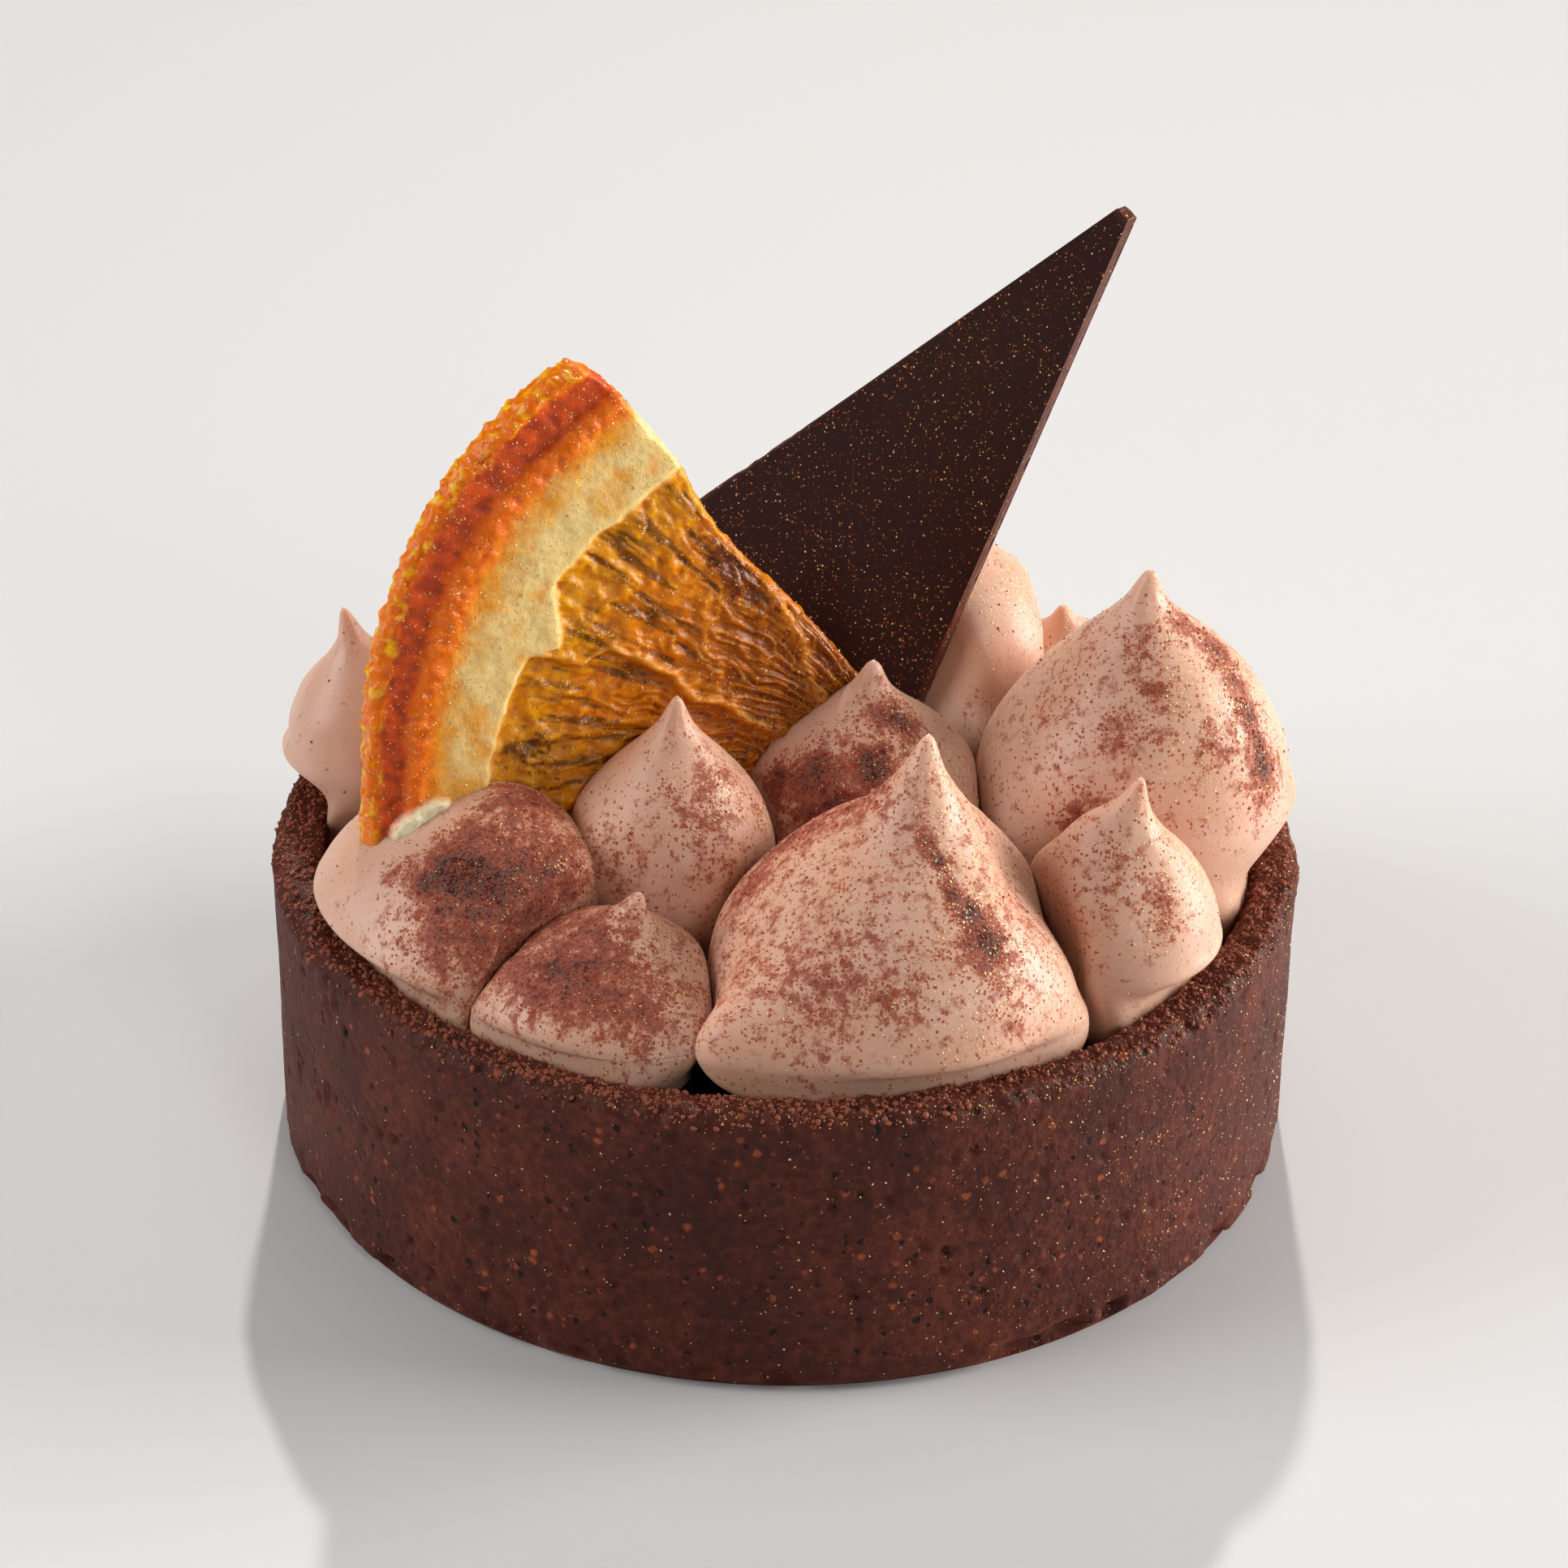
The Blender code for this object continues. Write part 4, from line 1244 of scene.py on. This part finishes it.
@dataclass
class ChocolateTriangle:
    """A thin triangle of chocolate with broken edges."""

    node: str = "chocolate_triangle"
    long_edge: float = 45 * MM
    short_edge: float = 24.6 * MM
    thickness: float = 1.2 * MM
    blunt: float = 1.3 * MM
    blunt_share: float = 0.04
    across: int = 90
    along: int = 160
    layers: int = 4

    def build(self, solid: bpy.types.Object, material: bpy.types.Material) -> bpy.types.Object:
        """Model the plate between its corners, break its edges and dress it."""
        side, up, front = plate_axes(solid)
        body = read_points(solid.data)
        flat = body @ np.array([side, up]).T
        middle = ((body @ np.array(front)).max() + (body @ np.array(front)).min()) / 2
        apex = flat[flat[:, 1].argmax()]
        left = flat[flat[:, 0].argmin()]
        half_angle = math.asin(self.short_edge / 2 / self.long_edge)
        arm = (left - apex) / np.linalg.norm(left - apex) * self.long_edge
        cosine, sine = math.cos(2 * half_angle), math.sin(2 * half_angle)
        right = apex + np.array([arm[0] * cosine - arm[1] * sine, arm[0] * sine + arm[1] * cosine])
        left = apex + arm
        bpy.ops.mesh.primitive_grid_add(
            x_subdivisions=self.across, y_subdivisions=self.along, size=1.0, location=(0.5, 0.5, 0)
        )
        piece = bpy.context.object
        piece.name = "chocolate_plate"
        select_only(piece)
        bpy.ops.object.transform_apply(location=True, rotation=True, scale=True)
        with editing(piece):
            for _ in range(self.layers):
                bpy.ops.mesh.extrude_region_move(TRANSFORM_OT_translate={"value": (0, 0, 1 / self.layers)})
        grid = read_points(piece.data)
        apex = apex + (2 * apex - left - right) / np.linalg.norm(2 * apex - left - right) * self.blunt
        down = self.blunt_share + (1 - self.blunt_share) * grid[:, 1:2]
        base = left + (right - left) * grid[:, 0:1]
        spread = apex + (base - apex) * down
        centre = (apex + left + right) / 3
        layer = 2 * grid[:, 2] - 1
        rim_share = np.minimum.reduce([grid[:, 0], 1 - grid[:, 0], grid[:, 1], 1 - grid[:, 1]])
        is_rim = (rim_share < 0.004).astype(float)
        edge_noise = waves(np.c_[spread, grid[:, 2] * MM], 1.5 * MM, 2.0, 3)
        inward = centre - spread
        inward /= np.linalg.norm(inward, axis=1)[:, None]
        cut = is_rim * (0.08 + 0.20 * np.abs(edge_noise) + 0.10 * np.abs(layer) ** 3) * MM
        spread = spread + inward * cut[:, None]
        deep = layer * self.thickness / 2 * (1 - 0.04 * is_rim)
        deep += 0.02 * MM * waves(np.c_[spread, deep], 6 * MM, 1.0)
        points = spread[:, 0:1] * np.array(side) + spread[:, 1:2] * np.array(up)
        points += (middle + deep)[:, None] * np.array(front)
        write_points(piece.data, points)
        with editing(piece):
            bpy.ops.mesh.normals_make_consistent(inside=False)
        write_attribute(piece.data, "edge", soft_step(0.02 - rim_share, 0.0, 0.02))
        finish_piece(piece, material, "dark_chocolate", self.node)
        return piece


# ---------------------------------------------------------------- what is sprinkled on it


class Grain(Enum):
    """The kinds of grain that are sprinkled."""

    COCOA = "cocoa_crumbs"
    GOLD = "gold_flakes"
    CRUST = "crust_crumbs"


@dataclass
class Sprinkling:
    """Grains of one kind, lying on the pieces below them, joined to one mesh."""

    kind: Grain
    number: int
    smallest: float
    largest: float
    flatness: float
    seed: int
    lift: float = 0.2

    def template(self) -> tuple[np.ndarray, np.ndarray]:
        """The points and faces of one grain of radius 1: a rough ball, or a thin flake."""
        if self.kind is Grain.GOLD:
            bpy.ops.mesh.primitive_cone_add(vertices=3, radius1=1.0, radius2=0.0, depth=1.2)
        else:
            bpy.ops.mesh.primitive_ico_sphere_add(subdivisions=1, radius=1.0)
        grain = bpy.context.object
        points = read_points(grain.data)
        faces = np.array([list(face.vertices) for face in grain.data.polygons])
        bpy.data.objects.remove(grain, do_unlink=True)
        return points, faces

    def scatter(self, pieces: list[bpy.types.Object], weights: list[np.ndarray]) -> tuple[np.ndarray, np.ndarray]:
        """Choose places on the pieces.

        Args:
            pieces: What the grains lie on.
            weights: For each piece, how likely a grain is at each of its points.

        Returns:
            The places and the normals there.
        """
        draw = np.random.default_rng(self.seed)
        corners, normals, chances = [], [], []
        for piece, weight in zip(pieces, weights):
            mesh = piece.data
            mesh.calc_loop_triangles()
            index = np.empty(len(mesh.loop_triangles) * 3, dtype=np.int32)
            mesh.loop_triangles.foreach_get("vertices", index)
            index = index.reshape(-1, 3)
            points = read_points(mesh)[index]
            area = np.linalg.norm(np.cross(points[:, 1] - points[:, 0], points[:, 2] - points[:, 0]), axis=1) / 2
            corners.append(points)
            normals.append(read_normals(mesh)[index].mean(axis=1))
            chances.append(area * weight[index].mean(axis=1))
        corners, normals, chances = (np.concatenate(parts) for parts in (corners, normals, chances))
        chosen = draw.choice(len(chances), size=count(self.number), p=chances / chances.sum())
        share = draw.dirichlet((1, 1, 1), size=len(chosen))
        return (corners[chosen] * share[:, :, None]).sum(axis=1), normals[chosen]

    def turning(self, draws: np.ndarray, normal: np.ndarray) -> Quaternion:
        """A crumb lies any way round; a flake lies nearly flat."""
        if self.kind is not Grain.GOLD:
            return Quaternion(draws).normalized()
        lean = Vector(normal) + 0.28 * Vector(draws[:3])
        return lean.to_track_quat("Z", "Y")

    def build(
        self, pieces: list[bpy.types.Object], weights: list[np.ndarray], material: bpy.types.Material, slot: str
    ) -> bpy.types.Object:
        """Scatter the grains and join them to one piece."""
        places, normals = self.scatter(pieces, weights)
        draw = np.random.default_rng(self.seed + 1)
        shape, faces = self.template()
        total = len(places)
        size = self.smallest * (self.largest / self.smallest) ** (draw.random(total) ** 2.2)
        turned = draw.normal(size=(total, 4))
        points = np.empty((total, len(shape), 3))
        for index in range(total):
            spin = np.array(self.turning(turned[index], normals[index]).to_matrix())
            squash = shape * (1.0, 1.0, self.flatness) * draw.uniform(0.7, 1.3, size=(len(shape), 1))
            points[index] = squash @ spin.T * size[index] + places[index] + normals[index] * size[index] * self.lift
        mesh = bpy.data.meshes.new(self.kind.value)
        offsets = (np.arange(total) * len(shape))[:, None, None]
        mesh.from_pydata(points.reshape(-1, 3).tolist(), [], (faces[None] + offsets).reshape(-1, 3).tolist())
        piece = bpy.data.objects.new(self.kind.value, mesh)
        bpy.context.scene.collection.objects.link(piece)
        finish_piece(piece, material, slot)
        return piece


# ---------------------------------------------------------------- the studio


@dataclass
class Studio:
    """A plain pale table, soft light from behind and the right, and the camera."""

    distance: float = 306.7 * MM
    elevation: float = 30.34
    aim_height: float = 24.7 * MM
    lens: float = 103.5
    roll: float = 0.836
    shift: float = -0.0014

    def build(self) -> None:
        """Set up the table, the lights and the camera."""
        self.table()
        self.lights()
        self.camera()
        scene = bpy.context.scene
        scene.view_settings.view_transform = "Standard"
        LOG.info("studio ready")

    def table(self) -> None:
        """A pale matt table top."""
        bpy.ops.mesh.primitive_plane_add(size=4.0, location=(0, 0, -0.05 * MM))
        top = bpy.context.object
        top.name = "table_top"
        material, _, shader = new_material("pale_table")
        shader.inputs["Base Color"].default_value = linear("#d2d2d4")
        shader.inputs["Roughness"].default_value = 0.6
        top.data.materials.append(material)

    def light(self, name: str, place: tuple[float, float, float], size: float, power: float, colour: str) -> None:
        """Add a square light that points at the tart."""
        data = bpy.data.lights.new(name, "AREA")
        data.size = size
        data.energy = power
        data.color = linear(colour)[:3]
        self.aim(bpy.data.objects.new(name, data), Vector(place))

    def aim(self, lamp: bpy.types.Object, place: Vector) -> None:
        """Put a lamp at a place and point it at the tart."""
        lamp.location = place
        lamp.rotation_euler = (Vector((0, 0, self.aim_height)) - place).to_track_quat("-Z", "Y").to_euler()
        bpy.context.scene.collection.objects.link(lamp)

    def lights(self) -> None:
        """The key behind, broad soft lights at the sides, weak ones in front and above."""
        sun = bpy.data.lights.new("key", "SUN")
        sun.energy = 1.45
        sun.angle = math.radians(2.0)
        sun.color = linear("#fff9f0")[:3]
        self.aim(bpy.data.objects.new("key", sun), Vector((0.0, 0.77, 0.64)))
        self.light("side", (0.76, 0.11, 0.22), 0.50, 9.8, "#fffcf8")
        self.light("fill", (-0.69, -0.10, 0.40), 0.45, 4.0, "#fcfbfa")
        self.light("front", (0.30, -0.62, 0.42), 0.20, 1.1, "#fffaf4")
        self.light("above", (0.0, 0.14, 0.79), 0.60, 1.4, "#fffaf4")
        world = bpy.data.worlds.new("surround")
        bpy.context.scene.world = world
        world.use_nodes = True
        back = world.node_tree.nodes["Background"]
        back.inputs["Color"].default_value = linear("#eef1f5")
        back.inputs["Strength"].default_value = 0.02

    def camera(self) -> None:
        """Put the camera in front, looking down on the tart."""
        data = bpy.data.cameras.new("camera")
        data.lens = self.lens
        data.sensor_width = 36.0
        data.shift_x = self.shift
        data.clip_start = 0.01
        camera = bpy.data.objects.new("camera", data)
        tilt = math.radians(self.elevation)
        back = Vector((0.0, -math.cos(tilt), math.sin(tilt)))
        camera.location = Vector((0, 0, self.aim_height)) + back * self.distance
        aim = (-back).to_track_quat("-Z", "Y")
        camera.rotation_mode = "QUATERNION"
        camera.rotation_quaternion = aim @ Quaternion((0, 0, 1), math.radians(self.roll))
        bpy.context.scene.collection.objects.link(camera)
        bpy.context.scene.camera = camera


# ---------------------------------------------------------------- all of it


def gold_and_glint_chance(piece: bpy.types.Object, floor: float = 0.12) -> np.ndarray:
    """How likely gold lies at each point: at least the floor, and most on what faces up and right, towards the side
    light's highlight, so the pale flakes there are partly a painted glint.
    """
    normals = read_normals(piece.data)
    facing = normals @ np.array(GOLD_AND_HIGHLIGHT_DIRECTION)
    return floor + 1.6 * np.clip(facing, 0.0, 1.0) ** 4


def rim_chance(piece: bpy.types.Object) -> np.ndarray:
    """How likely a crumb lies at each point of the case: on the rim, and a few on the wall."""
    rim = np.empty(len(piece.data.vertices), dtype=np.float32)
    piece.data.attributes["rim"].data.foreach_get("value", rim)
    normals = read_normals(piece.data)
    return rim.astype(float) * np.clip(normals[:, 2], 0.0, 1.0) ** 2 + 1e-6


def cocoa_chance(piece: bpy.types.Object) -> np.ndarray:
    """How likely a crumb lies at each point of the cream: where the powder is thick."""
    cover = np.empty(len(piece.data.vertices), dtype=np.float32)
    piece.data.attributes["cocoa"].data.foreach_get("value", cover)
    return np.clip(cover.astype(float) - 0.3, 0.06, None) ** 1.5


def main() -> None:
    """Build every piece of the tart on its frame, then the studio."""
    logging.basicConfig(level=logging.INFO, format="%(message)s")
    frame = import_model()
    nodes = frame["nodes"]
    case = TartCase().build(Shortcrust().build())
    Filling().build(nodes, Ganache().build())
    drops = CreamDrops().build(nodes, DustedCream().build())
    wedge = OrangeWedge().build(nodes["orange_wedge"], DriedOrange().build())
    plate = ChocolateTriangle().build(nodes["chocolate_triangle"], TemperedChocolate().build())
    cocoa = PlainFinish("cocoa_powder", "#a04c34", 0.9).build()
    Sprinkling(Grain.COCOA, 9500, 0.03 * MM, 0.15 * MM, 0.5, 11, 0.0).build(
        drops, [cocoa_chance(piece) for piece in drops], cocoa, "filling"
    )
    baked = PlainFinish("baked_crumb", "#8a462c", 0.6).build()
    Sprinkling(Grain.CRUST, 6500, 0.08 * MM, 0.28 * MM, 0.7, 37, 0.0).build([case], [rim_chance(case)], baked, "shortcrust")
    # real gold dust, gathered where the highlight falls: partly a painted glint
    gold = PlainFinish("gold_dust", "#ffdf96", 0.38, 0.6).build()
    dusted = [*drops, wedge, plate, case]
    least = {wedge.name: 0.7, plate.name: 0.15, case.name: 0.06}
    Sprinkling(Grain.GOLD, 44000, 0.05 * MM, 0.13 * MM, 0.1, 23).build(
        dusted, [gold_and_glint_chance(piece, least.get(piece.name, 0.12)) for piece in dusted], gold, "dried_orange"
    )
    Studio().build()


if __name__ == "__main__":
    main()
